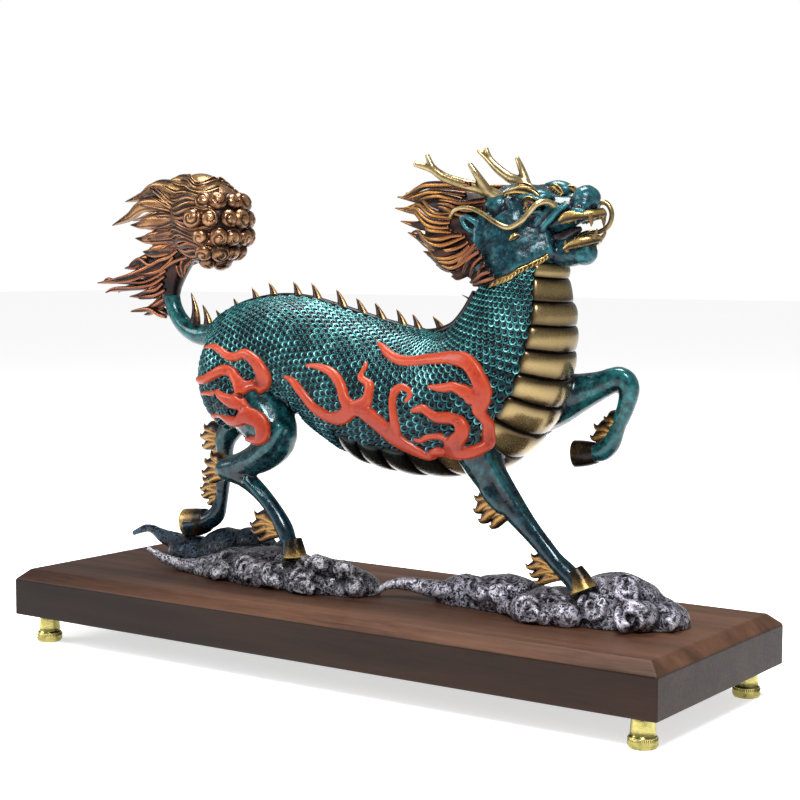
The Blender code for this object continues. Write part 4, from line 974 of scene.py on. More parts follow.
class Workshop:
    """Holds the frame and its grid, and turns meshes into finished pieces."""

    def __init__(self, frame: dict) -> None:
        """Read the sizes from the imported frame."""
        low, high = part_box("qilin")
        self.frame = frame
        self.grid = Grid(unit=(high.x - low.x) / QILIN_SPAN, top=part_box("board")[1].z)
        self.skin: BVHTree | None = None

    def finish_piece(
        self,
        name: str,
        mesh: bpy.types.Mesh,
        finish: bpy.types.Material,
        replaces: Sequence[str] = (),
    ) -> None:
        """Make a piece of a mesh, ride it on the frame and report it.

        Args:
            name: Name of the piece.
            mesh: Its mesh in metres.
            finish: Its material.
            replaces: CAD nodes that the piece stands for.
        """
        mesh.name = name
        mesh.materials.clear()
        mesh.materials.append(finish)
        mesh.polygons.foreach_set("use_smooth", [True] * len(mesh.polygons))
        mesh.polygons.foreach_set("material_index", [0] * len(mesh.polygons))
        mesh.update()
        piece = linked(name, mesh)
        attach(piece, "root")
        if replaces:
            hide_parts(*replaces)
        mesh.calc_loop_triangles()
        log.info("%s: %d triangles", name, len(mesh.loop_triangles))

    def laid(
        self, skin: BVHTree, run: Iterable[Row], side: Side, lift: float = 0.0, edge: Row | None = None
    ) -> np.ndarray:
        """Lay a run of places on one side of a skin.

        Args:
            skin: What to lay it on.
            run: Rows of x, z and any further values.
            side: The side to lay it on.
            lift: How far to keep it off the skin.
            edge: Depth where the skin is missed, and its rise along x, or none to carry on what is beside.

        Returns:
            Rows of x, y, z and the further values.
        """
        rows = np.array(list(run), float)
        aim = Vector((0.0, side.value, 0.0))
        depth = np.full(len(rows), np.nan)
        for k, (x, z) in enumerate(rows[:, :2]):
            start = Vector(self.grid.place(np.array([(x, -80.0 * side.value, z)]))[0])
            hit = skin.ray_cast(start, aim)[0]
            if hit is not None and hit.y * side.value < 0:
                depth[k] = abs(hit.y) / self.grid.unit
            elif edge is not None:
                depth[k] = edge[0] + edge[1] * x
        known = np.flatnonzero(~np.isnan(depth))
        depth = np.interp(np.arange(len(rows)), known, depth[known])
        for _ in range(2):
            depth[1:-1] = (depth[:-2] + 2 * depth[1:-1] + depth[2:]) / 4
        return np.column_stack((rows[:, 0], -side.value * (depth + lift), rows[:, 1:]))

    def scattered(
        self,
        shape: bpy.types.Mesh,
        points: np.ndarray,
        outward: np.ndarray,
        backward: np.ndarray,
        span: np.ndarray,
        finish: bpy.types.Material,
        tint: np.ndarray | None = None,
    ) -> bpy.types.Mesh:
        """Set one shape on many points by the scatter tree.

        Args:
            shape: The shape, z out and y backward, in units of its span.
            points: Where the shapes sit, in metres.
            outward: Direction of each shape's z.
            backward: Direction of each shape's y.
            span: Size of each shape along its x, y and z.
            finish: The material of the shapes.
            tint: A value from 0 to 1 for each shape.

        Returns:
            One plain mesh of all the shapes.
        """
        cloud = mesh_of("spots", points.tolist(), [])
        for name, values in (("outward", outward), ("backward", backward), ("span", span)):
            held = cloud.attributes.new(name, "FLOAT_VECTOR", "POINT")
            held.data.foreach_set("vector", np.asarray(values, np.float32).ravel())
        set_mark(cloud, Mark.TINT, np.full(len(points), 0.5) if tint is None else tint)
        model = linked("shape", shape)
        item = linked("spots", cloud)
        modifier = item.modifiers.new("scatter", "NODES")
        modifier.node_group = scatter_tree()
        for label, value in (("Shape", model), ("Size", 1.0), ("Finish", finish)):
            modifier[socket_id(modifier.node_group, label)] = value
        mesh = worked_in(item)
        bpy.data.objects.remove(model, do_unlink=True)
        return mesh

    def followed(self, paths: Iterable[np.ndarray], sides: int, finish: bpy.types.Material) -> bpy.types.Mesh:
        """Run round wire along paths by the follow tree.

        Args:
            paths: Rows of x, y, z and radius on the grid, one array a wire.
            sides: Points round the wire.
            finish: The material of the wire.

        Returns:
            One plain mesh of all the wires.
        """
        curve = bpy.data.curves.new("wires", "CURVE")
        curve.dimensions = "3D"
        for path in paths:
            spline = curve.splines.new("POLY")
            spline.points.add(len(path) - 1)
            for knot, place, radius in zip(spline.points, self.grid.place(path), path[:, 3]):
                knot.co = (*place, 1.0)
                knot.radius = radius
        item = linked("wires", curve)
        modifier = item.modifiers.new("follow", "NODES")
        modifier.node_group = follow_tree()
        for label, value in (("Thickness", self.grid.unit), ("Sides", sides), ("Finish", finish)):
            modifier[socket_id(modifier.node_group, label)] = value
        mesh = worked_in(item)
        bpy.data.curves.remove(curve)
        return mesh


def socket_id(tree: bpy.types.NodeTree, label: str) -> str:
    """Find the identifier of a tree's named input."""
    return next(item.identifier for item in tree.interface.items_tree if item.name == label)


def new_tree(
    name: str, inputs: Sequence[tuple[str, str]]
) -> tuple[bpy.types.NodeTree, bpy.types.Node, bpy.types.Node]:
    """Start a geometry tree with named inputs.

    Args:
        name: Name of the tree.
        inputs: Label and socket type of each input.

    Returns:
        The tree, its input node and its output node.
    """
    tree = bpy.data.node_groups.new(name, "GeometryNodeTree")
    for label, kind in inputs:
        tree.interface.new_socket(label, in_out="INPUT", socket_type=kind)
    tree.interface.new_socket("Piece", in_out="OUTPUT", socket_type="NodeSocketGeometry")
    return tree, tree.nodes.new("NodeGroupInput"), tree.nodes.new("NodeGroupOutput")


def end_tree(
    tree: bpy.types.NodeTree, made: bpy.types.NodeSocket, given: bpy.types.Node, result: bpy.types.Node
) -> None:
    """Realize what a tree has made, give it the finish and hand it out.

    Args:
        tree: The tree.
        made: The socket with its geometry.
        given: The tree's input node.
        result: The tree's output node.
    """
    real = tree.nodes.new("GeometryNodeRealizeInstances")
    paint = tree.nodes.new("GeometryNodeSetMaterial")
    tree.links.new(made, real.inputs["Geometry"])
    tree.links.new(real.outputs["Geometry"], paint.inputs["Geometry"])
    tree.links.new(given.outputs["Finish"], paint.inputs["Material"])
    tree.links.new(paint.outputs["Geometry"], result.inputs["Piece"])


def scatter_tree() -> bpy.types.NodeTree:
    """Build the tree that sets one shape on every point, turned by the points' own directions."""
    tree, given, result = new_tree(
        "scatter",
        (
            ("Spots", "NodeSocketGeometry"),
            ("Shape", "NodeSocketObject"),
            ("Size", "NodeSocketFloat"),
            ("Finish", "NodeSocketMaterial"),
        ),
    )
    link = tree.links.new
    shape = tree.nodes.new("GeometryNodeObjectInfo")
    turn = tree.nodes.new("FunctionNodeAxesToRotation")
    turn.primary_axis = "Z"
    turn.secondary_axis = "Y"
    place = tree.nodes.new("GeometryNodeInstanceOnPoints")
    grow = tree.nodes.new("ShaderNodeVectorMath")
    grow.operation = "SCALE"
    named = {}
    for label in ("outward", "backward", "span"):
        named[label] = tree.nodes.new("GeometryNodeInputNamedAttribute")
        named[label].data_type = "FLOAT_VECTOR"
        named[label].inputs["Name"].default_value = label
    link(given.outputs["Shape"], shape.inputs["Object"])
    link(named["outward"].outputs["Attribute"], turn.inputs["Primary Axis"])
    link(named["backward"].outputs["Attribute"], turn.inputs["Secondary Axis"])
    link(named["span"].outputs["Attribute"], grow.inputs[0])
    link(given.outputs["Size"], grow.inputs["Scale"])
    link(given.outputs["Spots"], place.inputs["Points"])
    link(shape.outputs["Geometry"], place.inputs["Instance"])
    link(turn.outputs["Rotation"], place.inputs["Rotation"])
    link(grow.outputs["Vector"], place.inputs["Scale"])
    end_tree(tree, place.outputs["Instances"], given, result)
    return tree


def follow_tree() -> bpy.types.NodeTree:
    """Build the tree that runs a round wire along curves, as thick as the curves' own radius."""
    tree, given, result = new_tree(
        "follow",
        (
            ("Wires", "NodeSocketGeometry"),
            ("Thickness", "NodeSocketFloat"),
            ("Sides", "NodeSocketInt"),
            ("Finish", "NodeSocketMaterial"),
        ),
    )
    link = tree.links.new
    section = tree.nodes.new("GeometryNodeCurvePrimitiveCircle")
    radius = tree.nodes.new("GeometryNodeInputRadius")
    wire = tree.nodes.new("GeometryNodeCurveToMesh")
    wire.inputs["Fill Caps"].default_value = True
    link(given.outputs["Sides"], section.inputs["Resolution"])
    link(given.outputs["Thickness"], section.inputs["Radius"])
    link(given.outputs["Wires"], wire.inputs["Curve"])
    link(section.outputs["Curve"], wire.inputs["Profile Curve"])
    link(radius.outputs["Radius"], wire.inputs["Scale"])
    end_tree(tree, wire.outputs["Mesh"], given, result)
    return tree


class Sheet:
    """A material's node sheet, with short ways to add what the finishes use."""

    def __init__(self, name: str) -> None:
        """Start a material with one Principled shader."""
        self.material = bpy.data.materials.new(name)
        self.material.use_nodes = True
        self.nodes = self.material.node_tree.nodes
        self.link = self.material.node_tree.links.new
        self.shader = self.nodes["Principled BSDF"]
        self.place = self.nodes.new("ShaderNodeTexCoord").outputs["Object"]

    def noise(
        self,
        scale: float,
        detail: float = 4.0,
        rough: float = 0.55,
        place: bpy.types.NodeSocket | None = None,
    ) -> bpy.types.NodeSocket:
        """Add noise over the piece."""
        node = self.nodes.new("ShaderNodeTexNoise")
        node.inputs["Scale"].default_value = scale
        node.inputs["Detail"].default_value = detail
        node.inputs["Roughness"].default_value = rough
        self.link(place or self.place, node.inputs["Vector"])
        return node.outputs["Fac"]

    def mark(self, name: str) -> bpy.types.NodeSocket:
        """Read a value of the mesh."""
        node = self.nodes.new("ShaderNodeAttribute")
        node.attribute_name = name
        return node.outputs["Fac"]

    def sums(self, operation: str, a, b) -> bpy.types.NodeSocket:
        """Work out one sum from sockets or numbers."""
        node = self.nodes.new("ShaderNodeMath")
        node.operation = operation
        for slot, value in zip(node.inputs, (a, b)):
            if isinstance(value, (int, float)):
                slot.default_value = value
            else:
                self.link(value, slot)
        return node.outputs[0]

    def spread(self, value, low: float, high: float, to_low: float = 0.0, to_high: float = 1.0):
        """Map a value from one range to another."""
        node = self.nodes.new("ShaderNodeMapRange")
        for label, number in (("From Min", low), ("From Max", high), ("To Min", to_low), ("To Max", to_high)):
            node.inputs[label].default_value = number
        self.link(value, node.inputs["Value"])
        return node.outputs["Result"]

    def ramp(self, value, stops: Sequence[tuple[float, Colour]]) -> bpy.types.NodeSocket:
        """Colour a value by stops."""
        node = self.nodes.new("ShaderNodeValToRGB")
        bars = node.color_ramp.elements
        while len(bars) < len(stops):
            bars.new(0.5)
        for bar, (spot, colour) in zip(bars, stops):
            bar.position = spot
            bar.color = (*colour, 1.0)
        self.link(value, node.inputs["Fac"])
        return node.outputs["Color"]

    def mix(self, share, first, second) -> bpy.types.NodeSocket:
        """Mix two colours, sockets or plain."""
        node = self.nodes.new("ShaderNodeMix")
        node.data_type = "RGBA"
        for label, value in (("Factor_Float", share), ("A_Color", first), ("B_Color", second)):
            slot = next(item for item in node.inputs if item.identifier == label)
            if isinstance(value, tuple):
                slot.default_value = (*value, 1.0)
            elif isinstance(value, float):
                slot.default_value = value
            else:
                self.link(value, slot)
        return next(item for item in node.outputs if item.identifier == "Result_Color")

    def cells(self, scale: float) -> bpy.types.NodeSocket:
        """Add rounded cells: high in their middles."""
        node = self.nodes.new("ShaderNodeTexVoronoi")
        node.inputs["Scale"].default_value = scale
        self.link(self.place, node.inputs["Vector"])
        return self.spread(node.outputs["Distance"], 0.0, 0.75, 1.0, 0.0)

    def fade(self, colour, axis: str, start: float, end: float, tone: Colour) -> bpy.types.NodeSocket:
        """Tone a colour along one axis of the piece."""
        apart = self.nodes.new("ShaderNodeSeparateXYZ")
        self.link(self.place, apart.inputs[0])
        wavy = self.spread(self.noise(45.0, 3.0), 0.3, 0.7, -0.006, 0.006)
        place = self.sums("ADD", apart.outputs[axis], wavy)
        toned = self.mix(1.0, colour, tone)
        toned.node.blend_type = "MULTIPLY"
        return self.mix(self.spread(place, start, end), colour, toned)

    def bump(self, height, strength: float, distance: float) -> None:
        """Give the shader fine relief."""
        node = self.nodes.new("ShaderNodeBump")
        node.inputs["Strength"].default_value = strength
        node.inputs["Distance"].default_value = distance
        self.link(height, node.inputs["Height"])
        self.link(node.outputs["Normal"], self.shader.inputs["Normal"])

    def set(self, label: str, value) -> None:
        """Set or link one input of the shader."""
        slot = self.shader.inputs[label]
        if isinstance(value, bpy.types.NodeSocket):
            self.link(value, slot)
        elif isinstance(value, tuple):
            slot.default_value = (*value, 1.0)
        else:
            slot.default_value = value


@dataclass(frozen=True)
class CastFinish:
    """A coloured finish over cast metal: dark in the hollows, bright on the crests, mottled between."""

    name: str
    hollow: Colour
    body: Colour
    crest: Colour
    mark: Mark = Mark.RELIEF
    metallic: float = 0.4
    smooth: float = 0.28
    rough: float = 0.55
    stops: tuple[float, float, float] = (0.30, 0.52, 0.80)
    wander: float = 0.35
    blotch: Colour | None = None
    blotch_share: float = 0.6
    patch: float = 70.0
    grain: float = 650.0
    relief: float = 0.25
    coat: float = 0.0
    gloss: float = 0.5
    speckle: float = 0.12
    veined: bool = False
    cells: float = 0.0
    fade: tuple[str, float, float] | None = None
    tone: Colour = (1.0, 1.0, 1.0)

    def make(self) -> bpy.types.Material:
        """Build the material."""
        sheet = Sheet(self.name)
        wide = sheet.noise(self.patch, 5.0, 0.6)
        fine = sheet.noise(self.grain, 4.0, 0.65)
        if self.veined:
            fine.node.inputs["Distortion"].default_value = 0.5
            away = sheet.sums("ABSOLUTE", sheet.sums("SUBTRACT", fine, 0.5), 0.0)
            fine = sheet.spread(away, 0.0, 0.085, 0.80, 0.28)
        drift = sheet.spread(wide, 0.3, 0.7, -self.wander, self.wander)
        worn = sheet.sums("ADD", drift, sheet.spread(fine, 0.3, 0.7, -self.speckle, self.speckle))
        height = sheet.sums("ADD", sheet.mark(self.mark.value), worn)
        raised = sheet.sums("ADD", fine, sheet.sums("MULTIPLY", wide, 0.6))
        if self.cells:
            domes = sheet.cells(self.cells)
            height = sheet.sums("ADD", height, sheet.spread(domes, 0.0, 1.0, 0.10, -0.10))
            raised = sheet.sums("ADD", raised, domes)
        colour = sheet.ramp(height, list(zip(self.stops, (self.hollow, self.body, self.crest))))
        if self.blotch is not None:
            painted_side_shade = sheet.spread(sheet.noise(self.patch * 2.3, 6.0, 0.7), 0.52, 0.72, 0.0, self.blotch_share)
            colour = sheet.mix(painted_side_shade, colour, self.blotch)
        if self.fade is not None:
            colour = sheet.fade(colour, *self.fade, self.tone)
        sheet.set("Base Color", colour)
        sheet.set("Metallic", self.metallic)
        sheet.set("Roughness", sheet.spread(fine, 0.3, 0.7, self.smooth, self.rough))
        sheet.set("Specular IOR Level", self.gloss)
        if self.coat:
            sheet.set("Coat Weight", self.coat)
            sheet.set("Coat Roughness", 0.07)
        sheet.bump(raised, self.relief, 0.0006)
        return sheet.material


@dataclass(frozen=True)
class ScaleFinish:
    """Patina on the scales: dark cups with worn bright rims that top out in a painted highlight, each scale
    its own tint, darker towards the bottom as painted shade.
    """

    name: str = "scale_patina"
    cup: Colour = (0.001, 0.005, 0.008)
    skin: Colour = (0.002, 0.022, 0.027)
    rim: Colour = (0.026, 0.185, 0.185)
    painted_glint: Colour = (0.34, 0.72, 0.70)

    def make(self) -> bpy.types.Material:
        """Build the material."""
        sheet = Sheet(self.name)
        wide = sheet.noise(38.0, 4.0, 0.6)
        fine = sheet.noise(900.0, 3.0, 0.6)
        tint = sheet.spread(sheet.mark(Mark.TINT.value), 0.0, 1.0, -0.13, 0.13)
        patchy = sheet.spread(wide, 0.35, 0.65, -0.16, 0.16)
        worn = sheet.sums("ADD", patchy, sheet.spread(fine, 0.3, 0.7, -0.1, 0.1))
        height = sheet.sums("ADD", sheet.mark(Mark.RIDGE.value), sheet.sums("ADD", tint, worn))
        # The highest ridge values pass from the worn rim colour to a painted highlight.
        colour = sheet.ramp(
            height, [(0.10, self.cup), (0.42, self.skin), (0.82, self.rim), (1.0, self.painted_glint)]
        )
        # Painted shade: the scales darken towards the bottom of the figure.
        colour = sheet.fade(colour, "Z", 0.190, 0.110, (0.36, 0.31, 0.43))
        sheet.set("Base Color", colour)
        sheet.set("Metallic", 0.45)
        sheet.set("Specular IOR Level", 0.25)
        sheet.set("Roughness", sheet.spread(fine, 0.3, 0.7, 0.15, 0.32))
        sheet.bump(fine, 0.12, 0.0004)
        return sheet.material


@dataclass(frozen=True)
class WalnutFinish:
    """Walnut with long grain, open pores and the glue line of two planks; its sides are darkened as painted
    shade.
    """

    name: str = "walnut_board"
    dark: Colour = (0.026, 0.012, 0.007)
    body: Colour = (0.070, 0.032, 0.018)
    light: Colour = (0.115, 0.055, 0.031)
    # Colour multiplied into the sides: painted shade, darker where the faces do not look up.
    painted_side_shade: Colour = (0.22, 0.21, 0.22)
    glue_line: float = 0.046

    def make(self) -> bpy.types.Material:
        """Build the material."""
        sheet = Sheet(self.name)
        turn = sheet.nodes.new("ShaderNodeMapping")
        turn.inputs["Scale"].default_value = (0.07, 1.0, 1.0)
        sheet.link(sheet.place, turn.inputs["Vector"])
        along = turn.outputs["Vector"]
        figure = sheet.noise(55.0, 6.0, 0.62, along)
        pores = sheet.noise(900.0, 3.0, 0.7, along)
        blend = sheet.sums("ADD", sheet.sums("MULTIPLY", figure, 0.75), sheet.sums("MULTIPLY", pores, 0.25))
        colour = sheet.ramp(blend, [(0.34, self.dark), (0.50, self.body), (0.68, self.light)])
        apart = sheet.nodes.new("ShaderNodeSeparateXYZ")
        sheet.link(sheet.place, apart.inputs[0])
        off = sheet.sums("ABSOLUTE", sheet.sums("SUBTRACT", apart.outputs["Y"], self.glue_line), 0.0)
        seam = sheet.spread(off, 0.0, 0.0005, 0.55, 0.0)
        plank = sheet.sums("GREATER_THAN", apart.outputs["Y"], self.glue_line)
        colour = sheet.mix(sheet.sums("MULTIPLY", plank, 0.18), colour, self.dark)
        # Painted shade on the sides: faces that do not look up get the darker, multiplied colour.
        face = sheet.nodes.new("ShaderNodeSeparateXYZ")
        sheet.link(sheet.nodes.new("ShaderNodeNewGeometry").outputs["Normal"], face.inputs[0])
        side_shaded = sheet.mix(1.0, colour, self.painted_side_shade)
        side_shaded.node.blend_type = "MULTIPLY"
        colour = sheet.mix(sheet.spread(face.outputs["Z"], 0.3, 0.6), side_shaded, colour)
        colour = sheet.fade(colour, "X", 0.020, -0.190, (0.45, 0.42, 0.44))
        sheet.set("Base Color", sheet.mix(seam, colour, self.dark))
        sheet.set("Roughness", sheet.spread(pores, 0.3, 0.7, 0.40, 0.56))
        sheet.set("Specular IOR Level", 0.14)
        sheet.bump(pores, 0.12, 0.0003)
        return sheet.material


@dataclass(frozen=True)
class TurnedFinish:
    """Turned brass with fine tool marks round its axis."""

    name: str = "turned_brass"
    body: Colour = (0.40, 0.35, 0.12)
    dark: Colour = (0.13, 0.11, 0.035)

    def make(self) -> bpy.types.Material:
        """Build the material."""
        sheet = Sheet(self.name)
        turn = sheet.nodes.new("ShaderNodeMapping")
        turn.inputs["Scale"].default_value = (0.15, 0.15, 1.0)
        sheet.link(sheet.place, turn.inputs["Vector"])
        marks = sheet.noise(2200.0, 2.0, 0.5, turn.outputs["Vector"])
        cloudy = sheet.noise(180.0, 4.0, 0.6)
        sheet.set("Base Color", sheet.ramp(cloudy, [(0.30, self.dark), (0.48, self.body), (0.8, self.body)]))
        sheet.set("Metallic", 1.0)
        sheet.set("Roughness", sheet.spread(marks, 0.3, 0.7, 0.18, 0.36))
        sheet.bump(marks, 0.15, 0.0002)
        return sheet.material


@dataclass(frozen=True)
class FloorFinish:
    """Pale matt paper, a little uneven."""

    name: str = "pale_paper"
    body: Colour = (0.90, 0.90, 0.90)

    def make(self) -> bpy.types.Material:
        """Build the material."""
        sheet = Sheet(self.name)
        tone = sheet.noise(6.0, 2.0, 0.5)
        sheet.set("Base Color", sheet.ramp(tone, [(0.0, (0.88, 0.88, 0.88)), (1.0, (0.92, 0.92, 0.92))]))
        sheet.set("Roughness", 0.9)
        sheet.set("Emission Color", self.body)
        sheet.set("Emission Strength", 0.70)
        return sheet.material


# Skin patina: its lighter crest colour is partly the patina's own and partly a painted highlight along ridges
# and tendons; the fade along Z darkens the legs and belly as painted shade.
PATINA = CastFinish(
    "blue_green_patina", (0.001, 0.004, 0.008), (0.002, 0.020, 0.026), (0.011, 0.105, 0.108),
    stops=(0.28, 0.56, 0.98),
    metallic=0.30, smooth=0.15, rough=0.30, wander=0.26, blotch=(0.002, 0.008, 0.014), blotch_share=0.5,
    patch=240.0, grain=600.0, relief=0.20, coat=0.25, gloss=0.25, cells=230.0, fade=("Z", 0.150, 0.085),
    tone=(0.38, 0.26, 0.38),
)
HEAD_PATINA = CastFinish(
    "dark_head_patina", (0.001, 0.003, 0.007), (0.004, 0.023, 0.032), (0.016, 0.098, 0.115),
    metallic=0.30, smooth=0.17, rough=0.36, wander=0.15, blotch=(0.022, 0.009, 0.014), blotch_share=0.5,
    patch=240.0, grain=600.0, relief=0.20, coat=0.06, gloss=0.25, speckle=0.10,
)
# The fade along X darkens and blues the rearmost plates under the belly: painted shade.
PLATE_BRASS = CastFinish(
    "belly_brass", (0.010, 0.006, 0.004), (0.078, 0.053, 0.024), (0.26, 0.19, 0.085), mark=Mark.RIDGE,
    metallic=0.85, smooth=0.18, rough=0.30, stops=(0.14, 0.50, 1.06), wander=0.10, patch=40.0,
    speckle=0.03, relief=0.07,
    fade=("X", 0.068, 0.048), tone=(0.07, 0.13, 0.24),
)
MANE_GOLD = CastFinish(
    "mane_gold", (0.010, 0.003, 0.004), (0.11, 0.038, 0.008), (0.38, 0.18, 0.026), mark=Mark.RIDGE,
    metallic=0.6, smooth=0.20, rough=0.38, stops=(0.24, 0.52, 0.92), wander=0.20, patch=45.0,
    fade=("X", 0.036, 0.078), tone=(0.42, 0.26, 0.55), speckle=0.05,
)
# The core that shows between the strands: the mane's own dark red, darkened further as painted shade deep
# between the locks.
MANE_DEPTH = CastFinish(
    "mane_depth", (0.002, 0.001, 0.001), (0.007, 0.003, 0.003), (0.030, 0.011, 0.006),
    metallic=0.1, smooth=0.55, rough=0.75, gloss=0.2,
)
TAIL_COPPER = CastFinish(
    "tail_copper", (0.006, 0.003, 0.003), (0.058, 0.016, 0.009), (0.22, 0.075, 0.030), mark=Mark.RIDGE,
    metallic=0.75, smooth=0.20, rough=0.40, stops=(0.16, 0.52, 0.95), wander=0.20, patch=45.0,
    fade=("Z", 0.222, 0.272), tone=(1.35, 2.2, 1.9), speckle=0.06,
)
CURL_BRONZE = CastFinish(
    "curl_bronze", (0.006, 0.004, 0.003), (0.085, 0.036, 0.018), (0.34, 0.18, 0.085), mark=Mark.RIDGE,
    metallic=0.8, smooth=0.16, rough=0.34, stops=(0.25, 0.60, 0.98), wander=0.12, patch=60.0,
    fade=("Z", 0.235, 0.205), tone=(0.55, 0.50, 0.5),
)
SPINE_COPPER = CastFinish(
    "spine_copper", (0.006, 0.005, 0.006), (0.045, 0.018, 0.010), (0.34, 0.20, 0.075), mark=Mark.RIDGE,
    metallic=0.75, smooth=0.20, rough=0.38, stops=(0.15, 0.50, 0.90), wander=0.10,
)
FLAME_RED = CastFinish(
    "flame_red", (0.085, 0.007, 0.003), (0.25, 0.021, 0.005), (0.31, 0.036, 0.009),
    metallic=0.0, smooth=0.30, rough=0.46, wander=0.10, grain=500.0, relief=0.12, coat=0.08, gloss=0.25,
    fade=("Z", 0.165, 0.115), tone=(0.75, 0.62, 0.7),
)
HORN_BRASS = CastFinish(
    "horn_brass", (0.020, 0.013, 0.006), (0.125, 0.088, 0.036), (0.34, 0.26, 0.125),
    metallic=0.75, smooth=0.20, rough=0.34, wander=0.22, patch=60.0, speckle=0.02, relief=0.05,
)
HOOF_GOLD = CastFinish(
    "hoof_gold", (0.010, 0.007, 0.004), (0.120, 0.070, 0.020), (0.38, 0.255, 0.080), mark=Mark.RIDGE,
    metallic=0.75, smooth=0.20, rough=0.38, stops=(0.15, 0.50, 0.90), wander=0.16,
)
TUFT_BRONZE = CastFinish(
    "tuft_bronze", (0.006, 0.005, 0.005), (0.070, 0.032, 0.011), (0.30, 0.165, 0.050), mark=Mark.RIDGE,
    metallic=0.75, smooth=0.22, rough=0.40, stops=(0.18, 0.52, 0.95), wander=0.18,
)
CLOUD_SILVER = CastFinish(
    "cloud_silver", (0.005, 0.005, 0.008), (0.040, 0.039, 0.048), (0.40, 0.39, 0.43),
    metallic=0.60, smooth=0.16, rough=0.40, stops=(0.22, 0.56, 1.06), wander=0.10, speckle=0.21, gloss=0.3,
    patch=150.0, grain=330.0, relief=0.45, veined=True,
)
FRONT_SILVER = replace(
    CLOUD_SILVER, name="front_cloud_silver", body=(0.075, 0.073, 0.092), crest=(0.55, 0.53, 0.61)
)
# The fade along Y darkens and blues the far half of the rear cloud, under the belly: painted shade.
REAR_SILVER = replace(
    CLOUD_SILVER, name="rear_cloud_silver", fade=("Y", -0.001, 0.009), tone=(0.07, 0.15, 0.22)
)
IVORY = CastFinish(
    "gilt_tooth", (0.12, 0.07, 0.025), (0.42, 0.30, 0.13), (0.65, 0.52, 0.28), metallic=0.5, wander=0.1,
)
DARK_BRONZE = CastFinish(
    "dark_bronze", (0.002, 0.002, 0.003), (0.009, 0.008, 0.011), (0.05, 0.042, 0.048), metallic=0.5,
    smooth=0.14, rough=0.30, wander=0.15,
)


